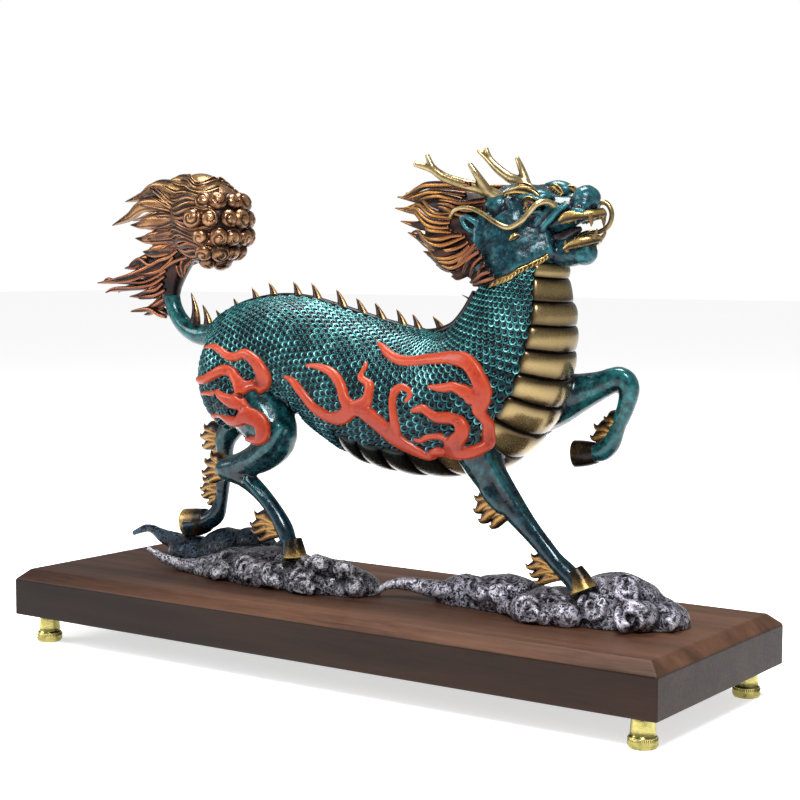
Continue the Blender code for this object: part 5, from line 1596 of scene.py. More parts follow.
@dataclass
class Body:
    """The cast skin of trunk, legs and tail stem, with its scales."""

    grain: float = 0.00130
    rounds: int = 3
    scales_round: int = 56
    row_pitch: float = 1.02
    plate_edge: float = 53.0

    def build(self, shop: Workshop) -> None:
        """Build the skin and the scales."""
        mesh = self.skin(shop)
        shop.skin = tree_of(mesh)
        shop.finish_piece("body_skin", mesh, PATINA.make(), ["qilin"])
        finish = ScaleFinish().make()
        for side in Side:
            scales = self.scales(shop, side, finish)
            shop.finish_piece("scales_" + side.name.lower(), scales, finish)

    def skin(self, shop: Workshop) -> bpy.types.Mesh:
        """Model the skin and fuse it.

        Args:
            shop: The workshop with the grid.

        Returns:
            The fused skin, marked with its relief.
        """
        clay = Clay()
        rings, sides = 120, 64
        share = np.repeat(np.linspace(0, 1, rings), sides)
        angle = np.tile(np.arange(sides) * 360.0 / sides, rings)
        ends = trunk_at(np.array((0.0, 1.0)))[:, :2]
        poles = np.stack((ends[:, 0], np.zeros(2), ends[:, 1]), axis=1)
        clay.add(np.vstack((trunk_points(share, angle), poles)), tube_faces(rings, sides, outward=False))
        for mass in BODY_MASSES:
            clay.ball(mass)
        for rod in (*LEGS.values(), *LEG_FORMS, TAIL_STEM, BACK_RIDGE):
            clay.rod(rod)
        mesh = fused(clay.mesh("skin", shop.grid), self.grain, self.rounds)
        points = coordinates(mesh)
        for x, y, level, radius, _ in SEATS:
            centre = shop.grid.place(np.array([(x, y, level)]))[0]
            away = np.hypot(points[:, 0] - centre[0], points[:, 1] - centre[1])
            low = (away < (radius + 6.0) * shop.grid.unit) & (points[:, 2] < centre[2])
            points[low, 2] = centre[2] + 0.0001
        move_to(mesh, points)
        mark_relief(mesh, 10, 0.0012)
        return mesh

    def scale_shape(self) -> bpy.types.Mesh:
        """Model one scale: a shallow cup with a raised rim, tipped up at its free edge.

        Returns:
            The scale, one unit across.
        """
        sides = 10
        rings = ((0.40, 0.20, 0.12), (0.76, 0.34, 0.95), (1.00, 0.02, 0.55))
        turn = np.arange(sides) * 2 * math.pi / sides + math.pi / sides
        points, marks = [], []
        for radius, height, ridge in rings:
            for angle in turn:
                x = 0.60 * radius * math.cos(angle)
                y = 0.62 * radius * math.sin(angle)
                tip = 0.20 * (y + 0.2)
                points.append((x, y, height + tip))
                free = 0.5 + 0.5 * math.sin(angle)
                marks.append(ridge * (0.45 + 0.55 * free))
        points += [(0.0, -0.05, 0.12), (0.0, 0.0, -0.35)]
        marks += [0.05, 0.2]
        mesh = mesh_of("scale", points, tube_faces(len(rings), sides, outward=False))
        set_mark(mesh, Mark.RIDGE, np.array(marks))
        return mesh

    def scales(self, shop: Workshop, side: Side, finish: bpy.types.Material) -> bpy.types.Mesh:
        """Lay rows of scales over one half of the trunk.

        Args:
            shop: The workshop with the skin.
            side: The half to cover.
            finish: Their material.

        Returns:
            The scales as one plain mesh.
        """
        rows = self.row_shares()
        half = self.scales_round // 2
        step = 360.0 / self.scales_round
        spots = np.full((len(rows), half + 2, 3), np.nan)
        faces = np.zeros((len(rows), half + 2, 3))
        for r, share in enumerate(rows):
            angles = (np.arange(half + 2) - 0.5 + 0.5 * (r % 2)) * step
            shares = np.full(half + 2, share)
            high = shop.grid.place(trunk_points(shares, -side.value * angles, 17.0))
            core = shop.grid.place(trunk_points(shares, -side.value * angles, -12.0))
            for k in range(half + 2):
                aim = Vector(core[k] - high[k])
                place, normal, _index, _far = shop.skin.ray_cast(
                    Vector(high[k]), aim.normalized(), aim.length
                )
                if place is not None and normal.dot(aim) < 0:
                    spots[r, k] = place
                    faces[r, k] = normal
        return self.laid(shop, spots, faces, rows, step, side, finish)

    def under_cheek(self, shop: Workshop, spot: np.ndarray) -> bool:
        """Tell whether a skin point lies under the cheeks, which carry no scales."""
        x, _y, z = shop.grid.read(spot[None, :])[0]
        return x > 60.0 and z > 170.5 + 0.52 * max(x - 88.0, 0.0)

    def row_shares(self) -> list[float]:
        """Space the rows by the girth of the trunk.

        Returns:
            The share of each row along the trunk.
        """
        found = [0.035]
        while found[-1] < 0.955:
            here = trunk_at(np.array((found[-1], found[-1] + 0.002)))
            run = math.dist(here[0, :2], here[1, :2]) / 0.002
            girth = math.pi * (here[0, 3] + here[0, 4])
            found.append(found[-1] + self.row_pitch * girth / self.scales_round / run)
        return found

    def laid(
        self,
        shop: Workshop,
        spots: np.ndarray,
        faces: np.ndarray,
        rows: list[float],
        step: float,
        side: Side,
        finish: bpy.types.Material,
    ) -> bpy.types.Mesh:
        """Turn the found skin points into scales.

        Args:
            shop: The workshop.
            spots: Skin points by row and column, nan where there is none.
            faces: The skin's directions at those points.
            rows: Share of each row.
            step: Degrees between columns.
            side: The half that is covered.
            finish: The material.

        Returns:
            The scales as one plain mesh.
        """
        rng = np.random.default_rng(17 if side is Side.NEAR else 18)
        points, outward, backward, span, tint = [], [], [], [], []
        for r in range(1, len(rows) - 1):
            for k in range(1, spots.shape[1] - 1):
                angle = (k - 0.5 + 0.5 * (r % 2)) * step
                plated = PLATE_RIDGES[-1] - 0.005 < rows[r] and angle < self.plate_edge
                here = spots[r, k]
                if plated or angle > 176.5 or np.isnan(here).any() or self.under_cheek(shop, here):
                    continue
                beside = [math.dist(here, spots[r, k + d]) for d in (-1, 1)]
                beside = [d for d in beside if not math.isnan(d)]
                ahead, behind = spots[r + 1, k], spots[r - 1, k]
                if not beside or np.isnan(ahead).any() or np.isnan(behind).any():
                    continue
                wide = min(beside)
                run = ahead - behind
                long = np.linalg.norm(run) / 2
                if wide > 0.0068 or long > 0.0090:
                    continue
                points.append(here)
                outward.append(faces[r, k])
                backward.append(-run)
                span.append((wide * 1.02, long * 1.12, 0.0042))
                tint.append(rng.uniform(0.0, 1.0))
        return shop.scattered(
            self.scale_shape(), np.array(points), np.array(outward), np.array(backward), np.array(span),
            finish, np.array(tint),
        )


@dataclass
class Plates:
    """The brass plates down the throat, chest and belly."""

    half_angle: float = 55.0
    across: int = 40
    along: int = 10
    swell: float = 2.6

    def build(self, shop: Workshop) -> None:
        """Build every plate as one piece."""
        clay = Clay()
        for start, end in zip(PLATE_RIDGES, PLATE_RIDGES[1:]):
            self.plate(clay, start, end)
        mesh = clay.mesh("plates", shop.grid)
        shop.finish_piece("belly_plates", mesh, PLATE_BRASS.make())

    def plate(self, clay: Clay, start: float, end: float) -> None:
        """Add one plate as a closed pillow.

        Args:
            clay: The heap to add to.
            start: Share of its upper edge.
            end: Share of its lower edge.
        """
        run = np.linspace(0.0, 1.0, self.along)
        swing = np.linspace(-1.0, 1.0, self.across)
        rise = 0.34 + 0.66 * np.sin(np.pi * run) ** 0.6 * (0.60 + 0.40 * (1 - run))
        fall = np.clip((1 - np.abs(swing)) / 0.10, 0, 1) ** 0.5
        lift = np.outer(rise, fall) * self.swell
        shares = np.repeat(start + (end - start) * run, self.across)
        angles = np.tile(swing * self.half_angle, self.along)
        outer = trunk_points(shares, angles, lift.ravel() - 0.6)
        inner = trunk_points(shares, angles, -2.5)
        count = self.along * self.across
        points = np.vstack((outer, inner))
        ridge = np.outer(np.sin(np.pi * run) ** 0.8, np.clip((1 - np.abs(swing)) / 0.12, 0.35, 1)).ravel()
        faces = []
        for i in range(self.along - 1):
            for k in range(self.across - 1):
                a = i * self.across + k
                b = a + self.across
                faces.append((a, a + 1, b + 1, b))
                faces.append((count + a, count + b, count + b + 1, count + a + 1))
        rim = list(range(self.across))
        rim += [i * self.across + self.across - 1 for i in range(1, self.along)]
        rim += [(self.along - 1) * self.across + k for k in range(self.across - 2, -1, -1)]
        rim += [i * self.across for i in range(self.along - 2, 0, -1)]
        for a, b in zip(rim, rim[1:] + rim[:1]):
            faces.append((b, a, count + a, count + b))
        clay.add(points, faces, np.concatenate((ridge, np.zeros(count))))


@dataclass
class Flames:
    """The red flame bands on both flanks."""

    grain: float = 0.00105
    height: float = 0.0036
    lift: float = 0.9
    step: float = 8.0
    rim: Row = (18.0, 0.0)

    def build(self, shop: Workshop) -> None:
        """Build the bands of each flank, flat on top and round at the edges."""
        finish = FLAME_RED.make()
        for side in Side:
            clay = Clay()
            for stations in FLAMES:
                band = smooth_path(stations, 5 * len(stations))
                rows = shop.laid(shop.skin, band, side, 0.0, self.rim)
                if side is Side.FAR:
                    near = shop.laid(shop.skin, band, Side.NEAR, 0.0, self.rim)[:, 1]
                    rows[:, 1] = np.where(np.abs(rows[:, 1] + near) > self.step, -near, rows[:, 1])
                rows = self.settled(shop, rows)
                clay.rod([(x, y, z, max(r * 1.22, 1.4)) for x, y, z, r in rows])
            mesh = fused(clay.mesh("flames", shop.grid), self.grain, 2)
            self.flatten(shop, mesh)
            mark_relief(mesh, 8, 0.0010)
            shop.finish_piece("flames_" + side.name.lower(), mesh, finish)

    def settled(self, shop: Workshop, rows: np.ndarray) -> np.ndarray:
        """Bring a band square onto the skin.

        Args:
            shop: The workshop with the skin.
            rows: Rows of x, y, z and radius.

        Returns:
            The rows, a little off the skin.
        """
        for row in rows:
            spot = Vector(shop.grid.place(row[None, :3])[0])
            place, normal, _index, _far = shop.skin.find_nearest(spot)
            row[:3] = shop.grid.read(np.array([place]))[0] + np.array(normal) * self.lift
        return rows

    def flatten(self, shop: Workshop, mesh: bpy.types.Mesh) -> None:
        """Press the bands to one height over the skin."""
        points = coordinates(mesh)
        for i, point in enumerate(points):
            place, normal, _index, _far = shop.skin.find_nearest(Vector(point))
            over = (Vector(point) - place).dot(normal)
            if over > self.height:
                points[i] = place + normal * (self.height + 0.25 * (over - self.height))
        move_to(mesh, points)


@dataclass
class Head:
    """The head, its lips, teeth, brows, ears, jaw fringe, horns and whiskers."""

    cheek_layers: int = 12
    cheek_growth: tuple[Row, ...] = ((3.6, 1.8), (3.4, 0.34), (5.4, 0.30))
    cheek_lean: float = 0.42
    grain: float = 0.00072
    horn_grain: float = 0.00055

    def build(self, shop: Workshop) -> None:
        """Build every piece of the head."""
        skull = fused(self.skull(shop).mesh("skull", shop.grid), self.grain, 5)
        roughened(skull, 0.0045, 0.00022)
        mark_relief(skull, 14, 0.0010)
        shop.finish_piece("head", skull, HEAD_PATINA.make(), ["qilin"])
        horns = Clay()
        for rod in HORNS.values():
            horns.rod(rod, 12)
        antlers = fused(horns.mesh("horns", shop.grid), self.horn_grain, 2)
        roughened(antlers, 0.0060, 0.00010)
        mark_relief(antlers, 12, 0.0006)
        brass = HORN_BRASS.make()
        shop.finish_piece("horns", antlers, brass)
        paths = [smooth_path(rod, 8 * len(rod)) for rod in WHISKERS]
        wires = shop.followed(paths, 12, brass)
        mark_relief(wires, 4, 0.0010)
        shop.finish_piece("whiskers", wires, brass)
        self.trim(shop)

    def skull(self, shop: Workshop) -> Clay:
        """Model the skull, snout, jaw, cheeks, ears and folds.

        Args:
            shop: The workshop with the skin.

        Returns:
            The heap of shapes.
        """
        clay = Clay()
        for mass in HEAD_MASSES:
            clay.ball(mass)
        for rod in (*HEAD_RODS, *CHEEK_RODS, *map(flipped, CHEEK_RODS)):
            clay.rod(rod)
        for rod in HEAD_FOLDS:
            clay.rod(rod, 10)
            clay.rod(flipped(rod), 10)
        line = self.jaw_line(shop)[::5]
        for step in range(self.cheek_layers):
            lift, inward, radius = (start + rise * step for start, rise in self.cheek_growth)
            hem = [(x - self.cheek_lean * lift, y + inward, z + lift, radius) for x, y, z in line]
            clay.rod(hem)
            clay.rod(flipped(hem))
        return clay

    def trim(self, shop: Workshop) -> None:
        """Build the gilt lips, brows and fringe, the teeth, the eyes and the tongue."""
        gold = Clay()
        for rod, flat, lines in GILT:
            for run, out in both_sides(smooth_path(rod, 5 * len(rod))):
                gold.sweep(run, 20, flat, out, lobes=lines, depth=0.07, twist=0.08)
                if lines > 3:
                    self.leaves(gold, run[4:-2], out, 0.62)
        self.fringe(shop, gold)
        shop.finish_piece("gilt_trim", gold.mesh("gilt", shop.grid), HOOF_GOLD.make())
        teeth = Clay()
        for rod in TEETH:
            for run in (rod, flipped(rod)):
                teeth.sweep(smooth_path(run, 8), 10)
        for ball in (EYE, *flipped([EYE])):
            teeth.ball(ball, 12, 20)
        shop.finish_piece("teeth_and_eyes", teeth.mesh("teeth", shop.grid), IVORY.make())
        # Tongue and pupils in dark bronze; the nostrils are dark balls of painted shade in place of their
        # openings.
        dark = Clay()
        dark.rod(TONGUE, 14)
        for ball in (PUPIL, NOSTRIL, *flipped((PUPIL, NOSTRIL))):
            dark.ball(ball, 10, 16)
        mouth = dark.mesh("mouth", shop.grid)
        mark_relief(mouth, 3, 0.0008)
        shop.finish_piece("tongue_and_pupils", mouth, DARK_BRONZE.make())

    def jaw_line(self, shop: Workshop) -> np.ndarray:
        """Draw the lower edge of the near cheek on the skin of the neck.

        Args:
            shop: The workshop with the skin.

        Returns:
            Rows of x, y, z.
        """
        path = smooth_path(shop.laid(shop.skin, FRINGE, Side.NEAR, 0.6), 46)
        for _ in range(5):
            path[1:-1, 1] = (path[:-2, 1] + 2 * path[1:-1, 1] + path[2:, 1]) / 4
        return path

    def fringe(self, shop: Workshop, gold: Clay) -> None:
        """Add the toothed fringe under both cheeks.

        Args:
            shop: The workshop with the grid.
            gold: The heap to add to.
        """
        path = self.jaw_line(shop) + (0.0, -2.2, -0.2)
        band = np.column_stack((path, np.full(len(path), 1.3)))
        for run, out in both_sides(band):
            gold.sweep(run, 12, 0.8, out, lobes=4, depth=0.12)
            self.leaves(gold, run[1:-2], out, 1.0)

    def leaves(self, gold: Clay, run: np.ndarray, out: Row, size: float) -> None:
        """Hang small leaves from a gilt edge.

        Args:
            gold: The heap to add to.
            run: The edge.
            out: The side that it faces.
            size: Size of a leaf against one of the fringe.
        """
        for root in run[::3, :3]:
            tip = root + size * np.array((-3.0, -0.1 * out[1], -3.4))
            middle = (root + tip) / 2 + (0.6 * size, 0.0, 0.0)
            leaf = ((*root, 1.7 * size), (*middle, 1.3 * size), (*tip, 0.15))
            gold.sweep(smooth_path(leaf, 6), 8, 0.6, out, lobes=3, depth=0.15)


@dataclass
class Mane:
    """The mane: a dark core with gilt strands combed back from cheek and brow."""

    grain: float = 0.0013
    thick: float = 1.85
    lift: float = 0.8
    fan: Row = (7.5, 0.2)
    core_share: float = 0.86
    lock_share: float = 0.78
    gilt_locks: int = 9

    def build(self, shop: Workshop) -> None:
        """Build the core and the strands."""
        core = Clay()
        for lock in MANE:
            for run, _ in both_sides(lock_path(*lock, self.core_share)):
                core.sweep(run, 12)
        core.ball(MANE_CORE)
        mesh = fused(core.mesh("core", shop.grid), self.grain, 2)
        mark_relief(mesh, 10, 0.0012)
        skin = tree_of(mesh)
        shop.finish_piece("mane_core", mesh, MANE_DEPTH.make(), ["qilin"])
        hair = Clay()
        for places in MANE_STRANDS:
            for run, out in both_sides(shop.laid(skin, places, Side.NEAR, self.lift, self.fan)):
                strand(hair, run, out, self.thick)
        for lock in MANE[: self.gilt_locks]:
            for run, out in both_sides(lock_path(*lock, self.lock_share)):
                hair.sweep(run, 28, 0.75, out, lobes=5, depth=0.15, twist=0.15)
        shop.finish_piece("mane_strands", hair.mesh("hair", shop.grid), MANE_GOLD.make())


@dataclass
class Tail:
    """The tail's copper ball of combed hair and snail curls, with its locks."""

    grain: float = 0.0014
    thick: float = 1.7
    lift: float = 0.6
    drape: Row = (5.0, 0.0)
    strands: int = 17

    def build(self, shop: Workshop) -> None:
        """Build the ball, the locks and the curls."""
        clay = Clay()
        for mass in TAIL_MASSES:
            clay.ball(mass)
        clay.rod(TAIL_SHEATH)
        for lock in TAIL_LOCKS:
            clay.sweep(lock_path(*lock, 0.82), 12)
        ball = fused(clay.mesh("ball", shop.grid), self.grain, 2)
        mark_relief(ball, 14, 0.0016)
        ridge = np.empty(len(ball.vertices), np.float32)
        ball.attributes[Mark.RELIEF.value].data.foreach_get("value", ridge)
        from_curls = coordinates(ball) - shop.grid.place(np.array([TAIL_BALL[:3]]))
        x, y, z = from_curls.T
        front = x + 0.55 * np.abs(y) - 3.0 * np.maximum(z - 0.012, 0)
        shaded = (front > 0.004) | (z < -0.016)
        set_mark(ball, Mark.RIDGE, (ridge * np.where(shaded, 0.12, 1.0)).astype(np.float32))
        copper = TAIL_COPPER.make()
        skin = tree_of(ball)
        shop.finish_piece("tail_ball", ball, copper, ["qilin"])
        hair = Clay()
        for lock in TAIL_LOCKS:
            hair.sweep(lock_path(*lock, 0.95), 22, 0.8, lobes=4, depth=0.16, twist=0.2)
        self.combed(shop, hair, skin)
        for places in TAIL_STRANDS:
            for run, out in both_sides(shop.laid(skin, places, Side.NEAR, self.lift, self.drape)):
                strand(hair, run, out, self.thick)
        shop.finish_piece("tail_hair", hair.mesh("hair", shop.grid), copper)
        bronze = CURL_BRONZE.make()
        shop.finish_piece("tail_curls", self.curls(shop, bronze), bronze)

    def combed(self, shop: Workshop, hair: Clay, skin: BVHTree) -> None:
        """Comb wavy strands from the curls round the ball to its back.

        Args:
            shop: The workshop with the grid.
            hair: The heap to add to.
            skin: The ball.
        """
        centre = np.array(TAIL_BALL[:3])
        for side in Side:
            for k in range(self.strands):
                start = 78.0 - 138.0 * k / (self.strands - 1)
                run = []
                for step in range(13):
                    share = step / 12
                    first = 64.0 - 22.0 * math.cos(math.radians(start)) - 1.3 * max(0.0, start - 36.0)
                    azimuth = -side.value * math.radians(first + (160.0 - first) * share)
                    wave = 4.5 * math.sin(2 * math.pi * (share * 1.4 + 0.13 * k))
                    level = math.radians(start * (1 - 0.30 * share) + 6.0 * share + wave)
                    out = pointing(azimuth, level)
                    far, aim = shop.grid.place((centre + out * 60.0)[None, :])[0], -Vector(out)
                    hit = skin.ray_cast(Vector(far), aim)[0]
                    if hit is not None:
                        run.append(shop.grid.read(np.array([hit]))[0] + out * 0.3)
                path = smooth_path(run, 34)
                share = np.linspace(0, 1, 34)
                radius = self.thick * 1.25 * np.clip(np.sin(np.pi * (0.10 + 0.86 * share)), 0, 1) ** 0.5
                wisp, out = np.column_stack((path, radius)), (0.0, -side.value, 0.0)
                hair.sweep(wisp, 14, 0.62, out, lobes=4, depth=0.13, twist=0.1)

    def snail(self) -> bpy.types.Mesh:
        """Model one snail curl: a dome with a spiral groove.

        Returns:
            The curl, one unit in radius.
        """
        rings, sides = 11, 26
        points, marks = [], []
        for i in range(rings):
            reach = (i + 1) / rings
            for k in range(sides):
                angle = k * 2 * math.pi / sides
                phase = (reach * 1.5 - angle / (2 * math.pi)) % 1.0
                groove = math.exp(-((min(phase, 1 - phase) / 0.10) ** 2)) * min(1.0, 3 * reach)
                dome = math.sqrt(max(0.0, 1 - (reach * 0.98) ** 2))
                height = 0.02 + 0.96 * dome - 0.15 * groove
                drop = 0.7 if i == rings - 1 else 0.0
                points.append((reach * math.cos(angle), reach * math.sin(angle), height - drop))
                marks.append((0.35 + 0.55 * dome) * (1 - 0.75 * groove))
        points += [(0.0, 0.0, 0.95), (0.0, 0.0, -0.6)]
        marks += [0.9, 0.0]
        # Each face starts one corner back, so a quad is split from its outer corner.
        faces = [(face[-1], *face[:-1]) for face in tube_faces(rings, sides)]
        mesh = mesh_of("snail", points, faces)
        set_mark(mesh, Mark.RIDGE, np.array(marks))
        return mesh

    def curls(self, shop: Workshop, finish: bpy.types.Material) -> bpy.types.Mesh:
        """Set the snail curls over the front of the ball.

        Args:
            shop: The workshop.
            finish: Their material.

        Returns:
            The curls as one plain mesh.
        """
        centre = np.array(TAIL_BALL[:3])
        axes = np.array(TAIL_BALL[3:])
        points, outward, backward, span = [], [], [], []
        laid = [(start + step * k, height) for height, start, step, count in CURLS for k in range(count)]
        for turn, (azimuth, height) in enumerate(laid):
            radius = 6.0 + 0.5 * math.sin(turn * 2.3)
            a, h = math.radians(azimuth + 2.5 * math.sin(turn * 4.1)), math.radians(height)
            out = pointing(a, h)
            points.append(centre + axes * out * 0.93)
            outward.append(out)
            twist = turn * 2.4
            backward.append((math.cos(twist), math.sin(twist), 0.3))
            span.append(np.array((radius, radius, radius * 0.98)) * shop.grid.unit)
        return shop.scattered(
            self.snail(), shop.grid.place(np.array(points)), np.array(outward), np.array(backward),
            np.array(span), finish,
        )


@dataclass
class Spines:
    """The row of thorns down the back on their dark ridge."""

    sides: int = 20
    steps: int = 14
    ridge_steps: int = 80
    ridge_half: float = 2.9

    def build(self, shop: Workshop) -> None:
        """Build the thorns and the ridge between them."""
        clay = Clay()
        for tip_x, tip_z, base_x, base_z, half in SPINES:
            self.thorn(clay, np.array((base_x, 0.0, base_z)), np.array((tip_x, 0.0, tip_z)), half)
        line = [(x, y, z + 0.5, self.ridge_half) for x, y, z, _ in BACK_RIDGE]
        clay.sweep(smooth_path(line, self.ridge_steps), 12, shade=np.full(self.ridge_steps, 0.12))
        mesh = clay.mesh("spines", shop.grid)
        shop.finish_piece("back_spines", mesh, SPINE_COPPER.make())

    def thorn(self, clay: Clay, base: np.ndarray, tip: np.ndarray, half: float) -> None:
        """Add one thorn that leans back to its tip, gilt down its front.

        Args:
            clay: The heap to add to.
            base: Middle of its foot.
            tip: Its point.
            half: Half its length along the back.
        """
        share = np.linspace(0.0, 1.0, self.steps)
        foot = base - (0.0, 0.0, 2.5)
        lean = tip - foot
        sweep = np.outer(np.sin(np.pi * share), (0.12 * abs(lean[2]), 0.0, 0.0))
        spine = foot + np.outer(share, lean) + sweep
        width = half * (0.70 * (1 - share) ** 0.65 + 0.24 * (1 - share) ** 4) + 0.08
        thick = 2.9 * (1 - share) ** 0.75 + 0.12
        angle = np.arange(self.sides) * 2 * math.pi / self.sides
        points = np.empty((self.steps, self.sides, 3))
        ridge = np.empty((self.steps, self.sides))
        for i in range(self.steps):
            points[i] = spine[i]
            points[i, :, 0] += width[i] * np.cos(angle)
            points[i, :, 1] += thick[i] * np.sin(angle)
            points[i, :, 2] -= 0.25 * width[i] * np.cos(angle)
            front = np.clip(np.cos(angle) * 1.4 - 0.1, 0, 1)
            ridge[i] = 0.22 + 0.62 * front * np.clip(share[i] * 3.0 - 0.3, 0, 1)
        body = np.vstack((points.reshape(-1, 3), spine[0], spine[-1]))
        marks = np.concatenate((ridge.ravel(), (0.1, 0.8)))
        clay.add(body, tube_faces(self.steps, self.sides), marks)


@dataclass
class Feet:
    """The hooves and the leaf tufts on the legs."""

    leaf_sides: int = 14
    length_share: float = 0.80
    fullness: float = 1.1

    def build(self, shop: Workshop) -> None:
        """Build hooves and tufts."""
        gold = HOOF_GOLD.make()
        bronze = TUFT_BRONZE.make()
        tufts = Clay()
        for root, tip, half in TUFTS:
            self.tuft(tufts, np.array(root, float), np.array(tip, float), half)
        shop.finish_piece("leg_tufts", tufts.mesh("tufts", shop.grid), bronze)
        hooves = Clay()
        for rows in HOOVES:
            path = smooth_path(rows, 14)
            raised = path[-1, 2] > 60.0
            shade = (0.30 if raised else 0.90) * np.linspace(0.0, 1.0, len(path)) ** 1.6
            hooves.sweep(path, 28, 0.95, lobes=2, depth=0.07, shade=shade)
        shop.finish_piece("hooves", hooves.mesh("hooves", shop.grid), gold)

    def tuft(self, clay: Clay, root: np.ndarray, tip: np.ndarray, half: float) -> None:
        """Add one grooved leaf with a curled tip.

        Args:
            clay: The heap to add to.
            root: Where it leaves the leg.
            tip: Its point.
            half: Half its width.
        """
        run = (tip - root) * self.length_share
        half *= self.fullness
        across = np.array((-run[2], 0.0, run[0]))
        for turn, reach in ((-0.20, 0.86), (0.16, 1.0)):
            aim = run * reach + across * turn
            stations = ((0.0, 0.0, 0.80), (0.45, 0.0, 0.80), (0.75, 0.10, 0.52), (0.92, 0.10, 0.25))
            rows = [(*(root + aim * share + across * curl), half * wide) for share, curl, wide in stations]
            rows.append((*(root + aim), 0.2))
            clay.sweep(smooth_path(rows, 13), self.leaf_sides, 0.85, lobes=3, depth=0.12, twist=0.1)


@dataclass
class Clouds:
    """The two silver cloud castings that carry the hooves."""

    grain: float = 0.00092
    folds: Row = (0.0150, 0.0005)
    pits: Row = (0.0046, 0.00012)
    scroll_steps: int = 44
    scroll_start: float = 0.4
    scroll_turns: float = 2.1

    def build(self, shop: Workshop) -> None:
        """Build both clouds."""
        for name, masses, rods, curls, silver in (
            ("rear_cloud", REAR_CLOUD_MASSES, REAR_CLOUD_RODS, REAR_CURLS, REAR_SILVER),
            ("front_cloud", FRONT_CLOUD_MASSES, FRONT_CLOUD_RODS, FRONT_CURLS, FRONT_SILVER),
        ):
            clay = Clay()
            for mass in masses:
                clay.ball(mass)
            for rod in rods:
                clay.rod(rod)
            plain = tree_of(clay.mesh(name, shop.grid))
            for curl in curls:
                clay.sweep(self.scroll(shop, plain, *curl), 10)
            mesh = fused(clay.mesh(name, shop.grid), self.grain, 2)
            roughened(mesh, *self.folds, ridged=True)
            roughened(mesh, *self.pits)
            self.seat(shop, mesh, name)
            mark_relief(mesh, 9, 0.0009)
            shop.finish_piece(name + "_casting", mesh, silver.make(), [name])

    def scroll(
        self, shop: Workshop, cloud: BVHTree, x: float, y: float, z: float, radius: float
    ) -> np.ndarray:
        """Lay a spiral on the side of the cloud that the photograph shows.

        Args:
            shop: The workshop with the grid.
            cloud: The cloud before its scrolls.
            x: Centre along the board.
            y: Centre across it.
            z: Height of the centre.
            radius: Outer radius.

        Returns:
            Rows of x, y, z and radius.
        """
        right = np.array(Studio.side)
        ahead = np.array((-right[1], right[0], 0.0))
        share = np.linspace(0, 1, self.scroll_steps)
        turns = self.scroll_start + self.scroll_turns * 2 * math.pi * share
        rows = []
        for turn, far in zip(turns, radius * (1.0 - 0.85 * share)):
            spot = np.array((x, y, z)) + right * far * math.cos(turn) + (0.0, 0.0, far * math.sin(turn))
            start = Vector(shop.grid.place((spot - ahead * 30.0)[None, :])[0])
            hit = cloud.ray_cast(start, Vector(ahead), 0.045)[0]
            if hit is not None and hit.z > shop.grid.top + 0.0015:
                rows.append((*(shop.grid.read(np.array([hit]))[0] - ahead * 0.4), 0.11 * radius + 0.65))
        path = np.array(rows)
        path[1:-1, :3] = (path[:-2, :3] + 2 * path[1:-1, :3] + path[2:, :3]) / 4
        return path

    def seat(self, shop: Workshop, mesh: bpy.types.Mesh, name: str) -> None:
        """Press the casting flat on the board, keep it in its CAD box and clear the hoof seats.

        Args:
            shop: The workshop.
            mesh: The casting.
            name: The node that it stands for.
        """
        low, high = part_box(name)
        points = coordinates(mesh)
        points[:, 2] = np.maximum(points[:, 2], low.z)
        for x, y, level, radius, cloud in SEATS:
            if not name.startswith(cloud):
                continue
            centre = shop.grid.place(np.array([(x, y, level)]))[0]
            away = np.hypot(points[:, 0] - centre[0], points[:, 1] - centre[1])
            inside = (away < radius * shop.grid.unit) & (points[:, 2] > centre[2])
            points[inside, 2] = centre[2]
        move_to(mesh, np.clip(points, np.array(low), np.array(high) + (0.0, 0.0, 0.002)))


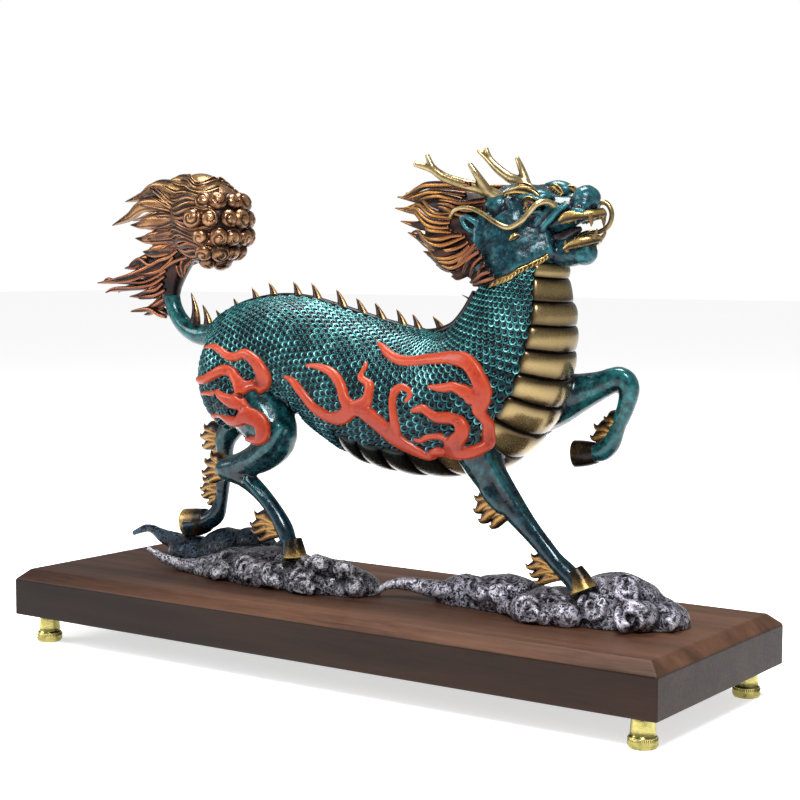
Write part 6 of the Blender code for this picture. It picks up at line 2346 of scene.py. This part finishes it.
@dataclass
class Base:
    """The walnut board and its four turned feet."""

    knurls: int = 44
    sides: int = 72

    def build(self, shop: Workshop) -> None:
        """Finish the board and build the feet."""
        board = shop.frame["nodes"]["board"]
        board.data.materials.clear()
        board.data.materials.append(WalnutFinish().make())
        log.info("board: carried over from the frame")
        brass = TurnedFinish().make()
        for node in sorted(name for name in shop.frame["nodes"] if name.startswith("foot_")):
            self.foot(shop, node, brass)

    def foot(self, shop: Workshop, node: str, brass: bpy.types.Material) -> None:
        """Turn one foot and knurl its collar.

        Args:
            shop: The workshop.
            node: The node that the foot stands for.
            brass: Its material.
        """
        low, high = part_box(node)
        centre = (low + high) / 2
        radius = (high.x - low.x) / 2
        tall = high.z - low.z
        profile = (
            (0.80, 0.0), (0.90, 0.012), (0.955, 0.045), (0.96, 0.085), (0.96, 0.33), (0.95, 0.35),
            (0.90, 0.37), (0.86, 0.40), (0.84, 0.55), (0.79, 0.80), (0.74, 0.985), (0.72, 1.0),
        )
        points = []
        for share, height in profile:
            for k in range(self.sides):
                angle = k * 2 * math.pi / self.sides
                reach = radius * share
                points.append((reach * math.cos(angle), reach * math.sin(angle), tall * height))
        points += [(0.0, 0.0, 0.0), (0.0, 0.0, tall)]
        mesh = mesh_of(node, points, tube_faces(len(profile), self.sides))
        turn = np.arange(self.knurls) * 2 * math.pi / self.knurls
        out = np.stack((np.cos(turn), np.sin(turn), np.zeros(self.knurls)), axis=1)
        spots = out * radius * 0.955 + (0.0, 0.0, tall * 0.205)
        up = np.tile((0.0, 0.0, 1.0), (self.knurls, 1))
        size = np.tile((radius * 0.11, tall * 0.25, radius * 0.044), (self.knurls, 1))
        ribs = shop.scattered(self.rib(), spots, out, up, size, brass)
        co = np.vstack((coordinates(mesh), coordinates(ribs))) + (centre.x, centre.y, low.z)
        shift = len(mesh.vertices)
        faces = [tuple(p.vertices) for p in mesh.polygons]
        faces += [tuple(i + shift for i in p.vertices) for p in ribs.polygons]
        both = mesh_of(node, co.tolist(), faces)
        shop.finish_piece(node + "_turned", both, brass, [node])

    def rib(self) -> bpy.types.Mesh:
        """Model one rib of the knurl, with sloped ends.

        Returns:
            The rib, one unit long.
        """
        points = [
            (-0.5, -0.5, -1.0), (0.5, -0.5, -1.0), (0.5, 0.5, -1.0), (-0.5, 0.5, -1.0),
            (-0.12, -0.42, 1.0), (0.12, -0.42, 1.0), (0.12, 0.42, 1.0), (-0.12, 0.42, 1.0),
        ]
        faces = [(0, 3, 2, 1), (4, 5, 6, 7), (0, 1, 5, 4), (1, 2, 6, 5), (2, 3, 7, 6), (3, 0, 4, 7)]
        return mesh_of("rib", points, faces)


@dataclass
class Studio:
    """The pale floor, the soft lights and the camera."""

    lens: float = 78.08
    eye: Row = (0.55701, -0.77387, 0.22507)
    aim: Row = (-0.57091, 0.81717, -0.07933)
    side: Row = (0.81975, 0.57272, 0.0)
    roll: float = 0.19

    def build(self) -> None:
        """Set up floor, lights and camera."""
        self.camera()
        self.floor()
        bpy.context.scene.view_settings.view_transform = "Standard"
        world = bpy.data.worlds.new("studio")
        bpy.context.scene.world = world
        world.use_nodes = True
        tree = world.node_tree
        shade = tree.nodes["Background"]
        shade.inputs["Color"].default_value = (1.0, 1.0, 1.0, 1.0)
        seen = tree.nodes.new("ShaderNodeLightPath").outputs["Is Camera Ray"]
        level = tree.nodes.new("ShaderNodeMapRange")
        level.inputs["To Min"].default_value = 0.34
        level.inputs["To Max"].default_value = 1.0
        tree.links.new(seen, level.inputs["Value"])
        tree.links.new(level.outputs["Result"], shade.inputs["Strength"])
        self.softbox("key", (0.55, -0.75, 0.95), (0.0, 0.0, 0.12), 0.30, 17.0)
        self.softbox("fill", (-0.95, -0.75, 0.60), (-0.05, 0.0, 0.12), 0.5, 8.0)
        self.softbox("top", (-0.15, 0.10, 1.1), (-0.05, 0.0, 0.1), 0.4, 17.0)

    def camera(self) -> None:
        """Stand the camera where the photograph was taken."""
        data = bpy.data.cameras.new("camera")
        data.lens = self.lens
        data.sensor_width = 36.0
        data.clip_start = 0.01
        camera = linked("camera", data)
        ahead = Vector(self.aim).normalized()
        right = Vector(self.side).normalized()
        up = right.cross(ahead)
        turn = math.radians(self.roll)
        r = right * math.cos(turn) + up * math.sin(turn)
        u = -right * math.sin(turn) + up * math.cos(turn)
        axes = Matrix((r, u, -ahead)).transposed()
        camera.matrix_world = Matrix.Translation(Vector(self.eye)) @ axes.to_4x4()
        bpy.context.scene.camera = camera

    def floor(self) -> None:
        """Lay the wide pale floor."""
        half, cells = 9.0, 6
        line = np.linspace(-half, half, cells + 1)
        points = [(x, y, 0.0) for y in line for x in line]
        row = cells + 1
        faces = [
            (j * row + i, j * row + i + 1, (j + 1) * row + i + 1, (j + 1) * row + i)
            for j in range(cells)
            for i in range(cells)
        ]
        mesh = mesh_of("floor", points, faces)
        mesh.materials.append(FloorFinish().make())
        floor = linked("floor", mesh)

    def softbox(self, name: str, place: Row, aim: Row, size: float, power: float) -> None:
        """Hang one soft light.

        Args:
            name: Name of the light.
            place: Where it hangs.
            aim: The point that it faces.
            size: Side of its square.
            power: Its power in watts.
        """
        data = bpy.data.lights.new(name, "AREA")
        data.size = size
        data.energy = power
        lamp = linked(name, data)
        lamp.location = place
        lamp.rotation_euler = (Vector(aim) - Vector(place)).to_track_quat("-Z", "Y").to_euler()


def main() -> None:
    """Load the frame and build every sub-assembly in order."""
    logging.basicConfig(level=logging.INFO, format="%(name)s %(message)s")
    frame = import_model()
    shop = Workshop(frame)
    Body().build(shop)
    for assembly in (Plates(), Flames(), Head(), Mane(), Tail(), Spines(), Feet(), Clouds(), Base()):
        assembly.build(shop)
    Studio().build()
    bpy.context.view_layer.update()


if __name__ == "__main__":
    main()
